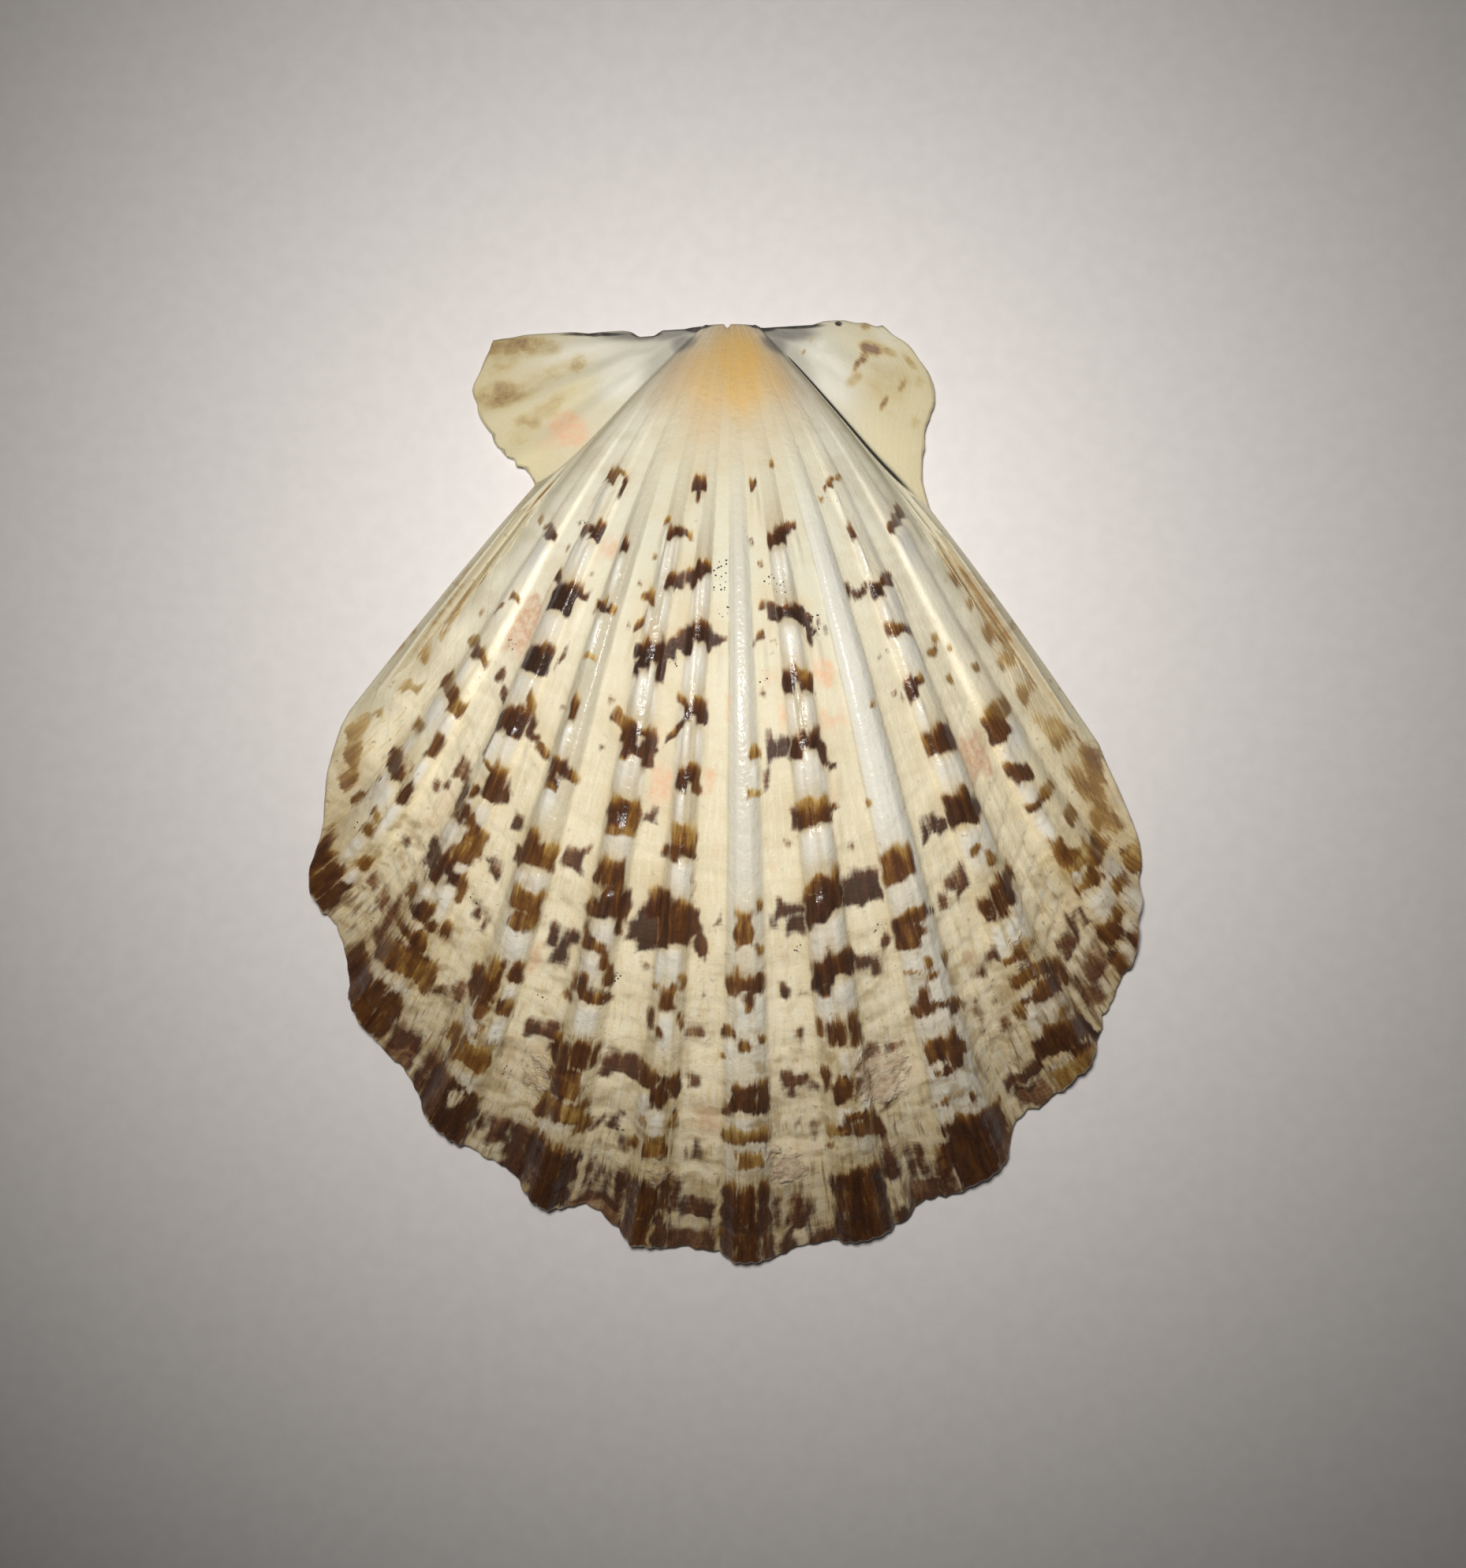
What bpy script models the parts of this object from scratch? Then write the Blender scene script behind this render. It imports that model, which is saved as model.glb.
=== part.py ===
"""One valve of a flat-ribbed scallop, lying on its margin with the outside up.

The valve is a fan. Every point of it has a fan angle, counted from the middle ray, and a growth
share, which is 0 at the hinge and 1 at the free margin. The disc holds ten flat-topped ribs with
hollows between them, and an ear closes the fan on either side. +X is the viewer's right, +Y
points from the ventral margin to the hinge and +Z is up. The hinge plate, the ears and the
bottoms of the hollows along the margin rest on the plane Z = 0.
"""

import math

import bmesh
import bpy
import numpy as np
from mathutils import Vector

MM = 0.001

# The beak, where every ray starts, and how the rays run from it
BEAK_X = -0.2 * MM
BEAK_Y = 36.5 * MM
BEAK_HALF_LENGTH = 2.3 * MM
LONGEST_RAY = 74.0 * MM
SPREAD_AT_BEAK = 0.23  # the rays leave the beak this much wider than they run further down
FLARE_AT_MARGIN = 0.10  # and they flare again by this much in the last growth
FAN_TWIST = -0.73  # degrees, the slight turn of the whole fan towards the left ear

# Where the disc ends and the ears begin, in degrees of the fan, and the ways of the hinge line
DISC_LEFT, DISC_RIGHT = -39.0, 36.5
HINGE_LEFT, HINGE_RIGHT = -87.0, 94.0
EAR_SPAN = 10.0  # fan degrees given to an ear, from the disc's side to the hinge line

# Each rib: the middle of its flat top and its width at half height, in degrees of the fan
RIBS = (
    (-31.5, 3.7), (-24.1, 3.5), (-16.9, 3.4), (-10.1, 3.1), (-4.3, 2.7),
    (1.5, 3.1), (8.1, 3.3), (15.2, 3.6), (22.4, 3.6), (29.8, 3.9),
)
RIB_SLOPE = 0.9  # degrees of the fan that a rib's side takes, foot to shoulder
RIB_HEIGHT = 1.15 * MM  # at the margin
RIB_CROWN = 0.12  # share of the height by which a rib's middle stands over its shoulders
RIB_END_REACH = 0.5 * MM  # a rib reaches this far past the mean margin, and a hollow stays behind

# Ray lengths in millimetres against degrees of the fan, on the disc
DISC_RAYS = (
    (-39.0, 18.5), (-38.5, 29.0), (-38.0, 41.5), (-37.0, 44.8), (-35.0, 48.4), (-31.5, 54.5),
    (-24.1, 61.8), (-16.9, 67.5), (-8.0, 72.2), (0.0, 74.3), (8.1, 73.5), (15.2, 70.3),
    (22.4, 65.0), (29.8, 57.0), (31.8, 54.8), (33.5, 51.6), (34.5, 47.3), (35.5, 43.0),
    (35.9, 33.0), (36.5, 20.0),
)
# Ray lengths in millimetres on the ears, against the share of the way to the hinge line
LEFT_EAR_RAYS = (
    (0.0, 18.5), (0.12, 18.3), (0.25, 18.8), (0.4, 19.0), (0.6, 19.2), (0.7, 19.1), (0.8, 18.2),
    (0.9, 17.4), (1.0, 16.8),
)
RIGHT_EAR_RAYS = (
    (0.0, 20.0), (0.05, 18.5), (0.1, 17.7), (0.2, 16.4), (0.35, 15.6), (0.5, 15.1), (0.6, 14.5),
    (0.7, 13.2), (0.8, 12.0), (0.9, 10.8), (1.0, 10.0),
)

# Height in millimetres of the middle ray against the growth share, and how the disc falls away
DOME_HEIGHTS = (
    (0.0, 2.2), (0.02, 4.0), (0.05, 6.2), (0.10, 8.8), (0.2, 12.0), (0.3, 13.7), (0.42, 14.5),
    (0.6, 13.2), (0.8, 8.7), (0.92, 4.6), (1.0, 1.3),
)
DOME_SIDE_POWER = 3.0
EAR_HEIGHT = 1.5 * MM

# Thickness in millimetres against the growth share: heavy at the beak and thin at the margin
SHELL_THICKNESS = ((0.0, 1.6), (0.08, 2.0), (0.25, 1.7), (0.6, 1.3), (0.9, 1.1), (1.0, 0.9))
INNER_RIB_SHARE = 0.8  # of the outer rib's height at the margin, fading towards the middle

# The flat hinge plate under the beak, and the pit in it for the elastic hinge pad
PLATE_GROWTH = 0.05
PIT_DEPTH = 1.2 * MM
PIT_START = 0.8 * MM
PIT_HALF_WIDTH = 1.3 * MM

# Columns and rows of the mesh
EAR_COLUMNS = 6
FLANK_SHARES = (0.0, 0.1, 0.2, 0.4, 0.65)  # of the way from the disc's side to the first rib
GROWTH_ROWS = (
    0.0, 0.01, 0.03, 0.045, 0.06, 0.085, 0.115, 0.15, 0.19, 0.24, 0.29, 0.345, 0.40, 0.455, 0.51,
    0.565, 0.62, 0.675, 0.73, 0.78, 0.83, 0.875, 0.915, 0.95, 0.98, 1.0,
)

SHELL_COLOUR = (0.72, 0.62, 0.48, 1.0)
SHELL_ROUGHNESS = 0.35


def smooth_curve(points):
    """A function through the points, rising and falling only where they do."""
    x, y = np.array(points, float).T
    steps = np.diff(x)
    slopes = np.diff(y) / steps
    tangents = np.concatenate([slopes[:1], np.zeros(len(x) - 2), slopes[-1:]])
    for i in range(1, len(x) - 1):
        before, after = slopes[i - 1], slopes[i]
        if before * after > 0:
            tangents[i] = 2.0 / (1.0 / before + 1.0 / after)

    def value(at):
        at = min(max(at, x[0]), x[-1])
        i = min(int(np.searchsorted(x, at, side="right")) - 1, len(steps) - 1)
        u = (at - x[i]) / steps[i]
        rise = (y[i + 1] - y[i]) * u * u * (3 - 2 * u)
        bend = steps[i] * u * (1 - u) * (tangents[i] * (1 - u) - tangents[i + 1] * u)
        return y[i] + rise + bend

    return value


disc_ray = smooth_curve(DISC_RAYS)
left_ear_ray = smooth_curve(LEFT_EAR_RAYS)
right_ear_ray = smooth_curve(RIGHT_EAR_RAYS)
dome_height = smooth_curve(DOME_HEIGHTS)
thickness = smooth_curve(SHELL_THICKNESS)


def smoothstep(low, high, value):
    share = min(max((value - low) / (high - low), 0.0), 1.0)
    return share * share * (3 - 2 * share)


def ear_share(angle):
    """0 on the disc, 1 on the hinge line."""
    return max(DISC_LEFT - angle, angle - DISC_RIGHT, 0.0) / EAR_SPAN


def on_disc(angle):
    return min(max(angle, DISC_LEFT), DISC_RIGHT)


def side_share(angle):
    """-1 on the disc's left side, 0 on the middle ray and 1 on the right side."""
    angle = on_disc(angle)
    return angle / DISC_RIGHT if angle > 0 else -angle / DISC_LEFT


def rib_share(angle):
    """0 in a hollow, about 1 on a rib."""
    height = 0.0
    for middle, width in RIBS:
        off = abs(angle - middle)
        rise = smoothstep(width / 2 + RIB_SLOPE / 2, width / 2 - RIB_SLOPE / 2, off)
        crown = 1 - RIB_CROWN * min(2 * off / width, 1.0) ** 2
        height = max(height, rise * crown)
    return height


def ray_length(angle):
    share = ear_share(angle)
    if share > 0:
        return (left_ear_ray if angle < 0 else right_ear_ray)(share) * MM
    in_ribs = smoothstep(1.0, 0.85, abs(side_share(angle)))
    return disc_ray(angle) * MM + (2 * rib_share(angle) - 1) * RIB_END_REACH * in_ribs


def ray_direction(angle, growth):
    """Degrees from straight down, at a growth share: the rays of the disc are slightly curved."""
    disc_angle = on_disc(angle)
    reach = disc_ray(disc_angle) * MM * growth / LONGEST_RAY
    widening = 1 + SPREAD_AT_BEAK * (1 - reach) ** 3 + FLARE_AT_MARGIN * growth**6
    direction = disc_angle * widening + FAN_TWIST * reach * reach
    share = ear_share(angle)
    hinge = HINGE_LEFT if angle < 0 else HINGE_RIGHT
    return direction * (1 - share) + hinge * share


def smooth_outside(angle, growth):
    """The outside with its ribs left off."""
    direction = math.radians(ray_direction(angle, growth))
    length = ray_length(angle) * growth
    x = BEAK_X + BEAK_HALF_LENGTH * side_share(angle) + length * math.sin(direction)
    y = BEAK_Y - length * math.cos(direction)
    fall = 1 - abs(side_share(angle)) ** DOME_SIDE_POWER
    z = EAR_HEIGHT + (dome_height(growth) * MM - EAR_HEIGHT) * fall
    return Vector((x, y, z))


def rib_height(angle, growth):
    return RIB_HEIGHT * rib_share(angle) * growth**0.7


def outside(angle, growth):
    point = smooth_outside(angle, growth)
    point.z += rib_height(angle, growth)
    return point


def outward(angle, growth):
    """The smooth outside's normal, from points a little to either side."""
    step = 0.01
    low, high = max(growth - step, 0.005), min(growth + step, 1.0)
    along = smooth_outside(angle, high) - smooth_outside(angle, low)
    left, right = on_disc(angle - 0.5), on_disc(angle + 0.5)
    middle = (low + high) / 2
    across = smooth_outside(right, middle) - smooth_outside(left, middle)
    return along.cross(across).normalized()


def hinge_plate(angle, growth):
    """The plate's flat underside, with the pit that narrows towards the beak."""
    point = smooth_outside(angle, growth)
    from_hinge = BEAK_Y - point.y
    plate_width = LONGEST_RAY * PLATE_GROWTH
    half_width = PIT_HALF_WIDTH * max(from_hinge / plate_width, 0.2)
    in_pit = smoothstep(1.0, 0.6, abs(point.x - BEAK_X) / half_width)
    point.z = PIT_DEPTH * in_pit if from_hinge > PIT_START else 0.0
    return point


def inside(angle, growth):
    """The inside follows the outside at the shell's thickness, flat where it would pass Z = 0."""
    if ear_share(angle) > 0 or angle in (DISC_LEFT, DISC_RIGHT) or growth < PLATE_GROWTH:
        return hinge_plate(angle, growth)
    point = smooth_outside(angle, growth) - outward(angle, growth) * thickness(growth) * MM
    point.z += INNER_RIB_SHARE * rib_height(angle, growth) * growth**2
    point.z = max(point.z, 0.0)
    return point


def column_angles():
    """The fan angles of the mesh's columns, from one end of the hinge line to the other."""
    left = [DISC_LEFT - EAR_SPAN * (1 - i / EAR_COLUMNS) for i in range(EAR_COLUMNS)]
    right = [DISC_RIGHT + EAR_SPAN * (i + 1) / EAR_COLUMNS for i in range(EAR_COLUMNS)]
    feet = []
    for middle, width in RIBS:
        foot, shoulder = (width + RIB_SLOPE) / 2, (width - RIB_SLOPE) / 2
        if feet:
            feet.append((feet[-1] + middle - foot) / 2)
        feet += [middle - foot, middle - shoulder, middle, middle + shoulder, middle + foot]
    left_flank = [DISC_LEFT + (feet[0] - DISC_LEFT) * share for share in FLANK_SHARES]
    right_flank = [DISC_RIGHT + (feet[-1] - DISC_RIGHT) * share for share in reversed(FLANK_SHARES)]
    return [*left, *left_flank, *feet, *right_flank, *right]


def make_valve(name):
    """A grid of columns and rows, extruded into two skins with walls between, then shaped."""
    angles = column_angles()
    columns, rows = len(angles) - 1, len(GROWTH_ROWS) - 1
    mesh = bmesh.new()
    bmesh.ops.create_grid(mesh, x_segments=columns, y_segments=rows, size=0.5)
    inner = list(mesh.verts)
    grown = bmesh.ops.extrude_face_region(mesh, geom=list(mesh.faces), use_keep_orig=True)
    outer = [part for part in grown["geom"] if isinstance(part, bmesh.types.BMVert)]
    for skin, shape in ((inner, inside), (outer, outside)):
        for vertex in skin:
            column = round((vertex.co.x + 0.5) * columns)
            row = round((0.5 - vertex.co.y) * rows)
            vertex.co = shape(angles[column], GROWTH_ROWS[row])
    bmesh.ops.remove_doubles(mesh, verts=list(mesh.verts), dist=0.001 * MM)
    bmesh.ops.recalc_face_normals(mesh, faces=list(mesh.faces))
    data = bpy.data.meshes.new(name)
    mesh.to_mesh(data)
    mesh.free()
    data.shade_smooth()
    return bpy.data.objects.new(name, data)


def centre_on_base(piece):
    """Moves the mesh so that the origin is the middle of its base."""
    corners = np.array([tuple(vertex.co) for vertex in piece.data.vertices])
    low, high = corners.min(axis=0), corners.max(axis=0)
    shift = Vector((-(low[0] + high[0]) / 2, -(low[1] + high[1]) / 2, -low[2]))
    for vertex in piece.data.vertices:
        vertex.co += shift


def shell_material():
    material = bpy.data.materials.new("Scallop shell")
    material.use_nodes = True
    shader = material.node_tree.nodes["Principled BSDF"]
    shader.inputs["Base Color"].default_value = SHELL_COLOUR
    shader.inputs["Roughness"].default_value = SHELL_ROUGHNESS
    shader.inputs["Metallic"].default_value = 0.0
    return material


def main():
    for old in list(bpy.data.objects):
        bpy.data.objects.remove(old)
    collection = bpy.data.collections.new("Scallop shell")
    bpy.context.scene.collection.children.link(collection)
    valve = make_valve("valve")
    centre_on_base(valve)
    valve.data.materials.append(shell_material())
    collection.objects.link(valve)


main()
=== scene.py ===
# %% [markdown]
# # A scallop valve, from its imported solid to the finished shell
#
# The real thing is one valve of a flat-ribbed scallop, worn a little by the sea and lying with its
# domed outside up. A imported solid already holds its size, its ten ribs and its two ears. This
# lesson keeps that solid for the frame, and lays a much finer skin over it: riblets, growth
# steps, the brown and purple marks, the flesh-pink patches and the gloss.
#
# Everything is in metres, with +X to the viewer's right, +Y towards the hinge and +Z up.

# %% Load the frame
import math

import bmesh
import bpy
import numpy as np
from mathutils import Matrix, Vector


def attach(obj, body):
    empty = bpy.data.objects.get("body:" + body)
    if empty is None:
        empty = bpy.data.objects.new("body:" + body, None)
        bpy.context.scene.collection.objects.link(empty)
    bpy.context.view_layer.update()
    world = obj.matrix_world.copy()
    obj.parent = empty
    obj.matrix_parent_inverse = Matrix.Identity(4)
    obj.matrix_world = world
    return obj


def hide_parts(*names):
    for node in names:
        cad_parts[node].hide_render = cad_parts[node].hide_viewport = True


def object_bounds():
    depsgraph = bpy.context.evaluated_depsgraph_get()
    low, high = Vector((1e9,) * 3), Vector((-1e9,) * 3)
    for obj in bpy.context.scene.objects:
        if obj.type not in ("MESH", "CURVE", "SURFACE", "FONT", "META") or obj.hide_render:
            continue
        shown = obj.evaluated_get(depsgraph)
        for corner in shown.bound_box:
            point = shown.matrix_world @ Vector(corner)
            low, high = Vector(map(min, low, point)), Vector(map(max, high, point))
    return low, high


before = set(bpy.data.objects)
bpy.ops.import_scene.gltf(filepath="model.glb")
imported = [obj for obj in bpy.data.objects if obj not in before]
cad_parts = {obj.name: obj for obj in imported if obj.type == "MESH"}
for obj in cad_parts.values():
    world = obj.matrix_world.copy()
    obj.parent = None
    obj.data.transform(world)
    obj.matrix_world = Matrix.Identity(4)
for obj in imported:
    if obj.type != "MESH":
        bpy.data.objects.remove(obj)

MM = 0.001
cad_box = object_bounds()
cad_size_mm = [round(v / MM, 1) for v in cad_box[1] - cad_box[0]]
print("packed nodes:", sorted(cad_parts), "size in mm:", cad_size_mm)

# %% [markdown]
# ## The camera
#
# The camera comes first, because every later choice is judged through it. The shell was seen from
# straight above and from very near, so the dome's top looks larger than the margin does. A long
# lens would lose that. The lens is worked out from the focal length in pixels of the 1988 pixel
# side, and the height above the table from how large the shell's 75 mm came out.

# %% Camera straight above the table
IMAGE_HEIGHT_PX = 1988
FOCAL_PX = 2010
SENSOR = 36.0
CAMERA_HEIGHT = 128 * MM
UNDER_CAMERA = (0.314 * MM, 0.529 * MM)  # the point of the table in the middle of the picture

camera_data = bpy.data.cameras.new("camera")
camera_data.sensor_width = SENSOR
camera_data.lens = SENSOR * FOCAL_PX / IMAGE_HEIGHT_PX
camera_data.clip_start = 1 * MM
camera = bpy.data.objects.new("camera", camera_data)
camera.location = (*UNDER_CAMERA, CAMERA_HEIGHT)
bpy.context.scene.collection.objects.link(camera)
bpy.context.scene.camera = camera
print("lens in mm:", round(camera_data.lens, 1))

# %% [markdown]
# ## Growing the fan
#
# A scallop grows outwards from its beak, and each growth line is a copy of the margin at an
# earlier age. So the natural way to describe it isn't X and Y but a fan angle and an age. The
# angle is counted in degrees from the middle ray. The age is the share of the way along the ray,
# 0 at the hinge and 1 at the free margin. The functions below turn those two numbers into a place,
# for whole arrays at once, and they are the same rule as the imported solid's.

# %% The fan's driving sizes
BEAK_X, BEAK_Y = 0.114 * MM, 37.029 * MM
BEAK_HALF_LENGTH = 2.3 * MM
LONGEST_RAY = 74.0 * MM
SPREAD_AT_BEAK, FLARE_AT_MARGIN, FAN_TWIST = 0.23, 0.10, -0.73
DISC_LEFT, DISC_RIGHT = -39.0, 36.5
HINGE_LEFT, HINGE_RIGHT = -87.0, 94.0
EAR_SPAN = 10.0
EAR_HEIGHT = 1.5 * MM
DOME_SIDE_POWER = 3.0

# Each rib: the middle of its top and its width, in degrees of the fan
RIBS = {
    "A": (-31.5, 3.7), "B": (-24.1, 3.5), "C": (-16.9, 3.4), "D": (-10.1, 3.1), "E": (-4.3, 2.7),
    "F": (1.5, 3.1), "G": (8.1, 3.3), "H": (15.2, 3.6), "I": (22.4, 3.6), "J": (29.8, 3.9),
}
RIB_SLOPE, RIB_CROWN = 0.9, 0.12
RIB_HEIGHT, RIB_END_REACH = 1.15 * MM, 0.5 * MM


def smooth_curve(points):
    """A function through the points, rising and falling only where they do."""
    x, y = np.array(points, float).T
    steps = np.diff(x)
    slopes = np.diff(y) / steps
    tangents = np.concatenate([slopes[:1], np.zeros(len(x) - 2), slopes[-1:]])
    for i in range(1, len(x) - 1):
        before, after = slopes[i - 1], slopes[i]
        if before * after > 0:
            tangents[i] = 2.0 / (1.0 / before + 1.0 / after)

    def value(at):
        at = np.clip(np.asarray(at, float), x[0], x[-1])
        i = np.clip(np.searchsorted(x, at, side="right") - 1, 0, len(steps) - 1)
        u = (at - x[i]) / steps[i]
        rise = (y[i + 1] - y[i]) * u * u * (3 - 2 * u)
        bend = steps[i] * u * (1 - u) * (tangents[i] * (1 - u) - tangents[i + 1] * u)
        return y[i] + rise + bend

    return value


disc_ray = smooth_curve((
    (-39.0, 18.5), (-38.5, 29.0), (-38.0, 41.5), (-37.0, 44.8), (-35.0, 48.4), (-31.5, 54.5),
    (-24.1, 61.8), (-16.9, 67.5), (-8.0, 72.2), (0.0, 74.3), (8.1, 73.5), (15.2, 70.3),
    (22.4, 65.0), (29.8, 57.0), (31.8, 54.8), (33.5, 51.6), (34.5, 47.3), (35.5, 43.0),
    (35.9, 33.0), (36.5, 20.0),
))
left_ear_ray = smooth_curve((
    (0.0, 18.5), (0.12, 18.3), (0.25, 18.8), (0.4, 19.0), (0.6, 19.2), (0.7, 19.1), (0.8, 18.2),
    (0.9, 17.4), (1.0, 16.8),
))
right_ear_ray = smooth_curve((
    (0.0, 20.0), (0.05, 18.5), (0.1, 17.7), (0.2, 16.4), (0.35, 15.6), (0.5, 15.1), (0.6, 14.5),
    (0.7, 13.2), (0.8, 12.0), (0.9, 10.8), (1.0, 10.0),
))
dome_height = smooth_curve((
    (0.0, 2.2), (0.02, 4.0), (0.05, 6.2), (0.10, 8.8), (0.2, 12.0), (0.3, 13.7), (0.42, 14.5),
    (0.6, 13.2), (0.8, 8.7), (0.92, 4.6), (1.0, 1.3),
))
print("the middle ray is", round(float(disc_ray(0.0)), 1), "mm long")

# %% From fan angle and age to a place


def smoothstep(low, high, value):
    share = np.clip((value - low) / (high - low), 0.0, 1.0)
    return share * share * (3 - 2 * share)


def ear_share(angle):
    """0 on the disc, 1 on the hinge line."""
    return np.maximum(np.maximum(DISC_LEFT - angle, angle - DISC_RIGHT), 0.0) / EAR_SPAN


def on_disc(angle):
    return np.clip(angle, DISC_LEFT, DISC_RIGHT)


def side_share(angle):
    """-1 on the disc's left side, 0 on the middle ray and 1 on the right side."""
    angle = on_disc(angle)
    return np.where(angle > 0, angle / DISC_RIGHT, -angle / DISC_LEFT)


def rib_share(angle, slope=RIB_SLOPE, crown_fall=RIB_CROWN):
    """0 in a hollow, about 1 on a rib."""
    height = np.zeros_like(angle)
    for middle, width in RIBS.values():
        off = np.abs(angle - middle)
        rise = smoothstep(width / 2 + RIB_SLOPE / 2, width / 2 + RIB_SLOPE / 2 - slope, off)
        crown = 1 - crown_fall * np.minimum(2 * off / width, 1.0) ** 2
        height = np.maximum(height, rise * crown)
    return height


def ray_length(angle):
    share = ear_share(angle)
    ear = np.where(angle < 0, left_ear_ray(share), right_ear_ray(share)) * MM
    in_ribs = smoothstep(1.0, 0.85, np.abs(side_share(angle)))
    disc = disc_ray(angle) * MM + (2 * rib_share(angle) - 1) * RIB_END_REACH * in_ribs
    return np.where(share > 0, ear, disc)


def ray_direction(angle, growth):
    """Degrees from straight down: the disc's rays are slightly curved."""
    disc_angle = on_disc(angle)
    reach = disc_ray(disc_angle) * MM * growth / LONGEST_RAY
    widening = 1 + SPREAD_AT_BEAK * (1 - reach) ** 3 + FLARE_AT_MARGIN * growth**6
    direction = disc_angle * widening + FAN_TWIST * reach * reach
    share = ear_share(angle)
    hinge = np.where(angle < 0, HINGE_LEFT, HINGE_RIGHT)
    return direction * (1 - share) + hinge * share


def smooth_outside(angle, growth):
    """The outside with its ribs left off, as an array of points."""
    direction = np.radians(ray_direction(angle, growth))
    length = ray_length(angle) * growth
    x = BEAK_X + BEAK_HALF_LENGTH * side_share(angle) + length * np.sin(direction)
    y = BEAK_Y - length * np.cos(direction)
    fall = 1 - np.abs(side_share(angle)) ** DOME_SIDE_POWER
    z = EAR_HEIGHT + (dome_height(growth) * MM - EAR_HEIGHT) * fall
    return np.stack([x, y, z + 0 * x], axis=-1)


def outward(angle, growth):
    """The smooth outside's normals, from points a little to either side."""
    step = 0.01
    low, high = np.maximum(growth - step, 0.005), np.minimum(growth + step, 1.0)
    along = smooth_outside(angle, high) - smooth_outside(angle, low)
    left, right = on_disc(angle - 0.5), on_disc(angle + 0.5)
    middle = (low + high) / 2
    across = smooth_outside(right, middle) - smooth_outside(left, middle)
    normal = np.cross(along, across)
    return normal / np.maximum(np.linalg.norm(normal, axis=-1, keepdims=True), 1e-12)


# %% [markdown]
# ## Columns that follow the riblets
#
# Each rib and each hollow carries fine lengthwise riblets, a little under a millimetre wide. They
# could be a bump texture, but they break the light along every rib, so they are real here. The
# grid gets three columns of points for each riblet, which is enough for a groove and a crest
# with a flat top. Laying the columns by riblet, and not evenly, keeps every groove sharp and never lets a
# column fall beside it.

# %% Where the riblets run
RIBLETS_ON_RIB = 5
RIBLET_IN_HOLLOW = 0.85  # degrees of the fan
COLUMNS_PER_RIBLET = 3
EAR_COLUMNS = 30  # two of them close to the disc, for the painted shadow line in the crevice beside it
rng = np.random.default_rng(11)


def grooves(left, right, count):
    """The angles of the grooves between two rib edges, none of them quite evenly spaced."""
    places = np.linspace(left, right, count + 1)
    places[1:-1] += rng.uniform(-0.16, 0.16, count - 1) * (right - left) / count
    return list(places[:-1])


def groove_angles():
    edges, start = [], DISC_LEFT
    for middle, width in RIBS.values():
        left, right = middle - width / 2, middle + width / 2
        edges += grooves(start, left, round((left - start) / RIBLET_IN_HOLLOW))
        edges += grooves(left, right, RIBLETS_ON_RIB)
        start = right
    edges += grooves(start, DISC_RIGHT, round((DISC_RIGHT - start) / RIBLET_IN_HOLLOW))
    return [*edges, DISC_RIGHT]


groove = np.array(groove_angles())
riblets = len(groove) - 1
ear_steps = np.concatenate([(0.012, 0.03), np.linspace(0, 1, EAR_COLUMNS - 1)[1:] ** 0.8])
disc_steps = np.arange(riblets * COLUMNS_PER_RIBLET + 1) / COLUMNS_PER_RIBLET
disc_columns = np.interp(disc_steps, np.arange(riblets + 1), groove)
column_angle = np.concatenate([
    DISC_LEFT - EAR_SPAN * ear_steps[::-1], disc_columns, DISC_RIGHT + EAR_SPAN * ear_steps,
])
riblet_number = (np.arange(len(column_angle)) - len(ear_steps)) / COLUMNS_PER_RIBLET
print(riblets, "riblets on the disc,", len(column_angle) - 1, "columns of faces")

# %% Rows of growth, closer together round the edge
EVEN_ROWS = 238
EDGE_DISTANCES = (0.42, 0.30, 0.20, 0.12, 0.05, 0.0)  # millimetres from the edge on the longest ray
INSIDE_STEP = 3  # the inside is calmer, so every third column and row is enough there
even = np.linspace(0.0, 1 - 0.55 * MM / LONGEST_RAY, EVEN_ROWS + 1)
row_growth = np.concatenate([even, 1 - np.array(EDGE_DISTANCES) * MM / LONGEST_RAY])
inner_columns, inner_rows = column_angle[::INSIDE_STEP], row_growth[::INSIDE_STEP]
print(len(row_growth) - 1, "rows;", 2 * (len(column_angle) - 1) * (len(row_growth) - 1), "triangles outside")

# %% [markdown]
# ## The marks, where they lie
#
# The brown marks are pigment laid down while the margin was at that age, so each is a short bar
# across a rib. On the ribs they are glassy and go from amber over red-brown to nearly black with
# their depth. In the hollows they are chalky and purple. Noise could scatter marks, but it can't
# put one where this shell has it. So each mark is one row in the fan's own measures, degrees
# across and millimetres along: from, to, upper end, lower end and depth, with a sixth number for
# how much lower the right end lies.

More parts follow.
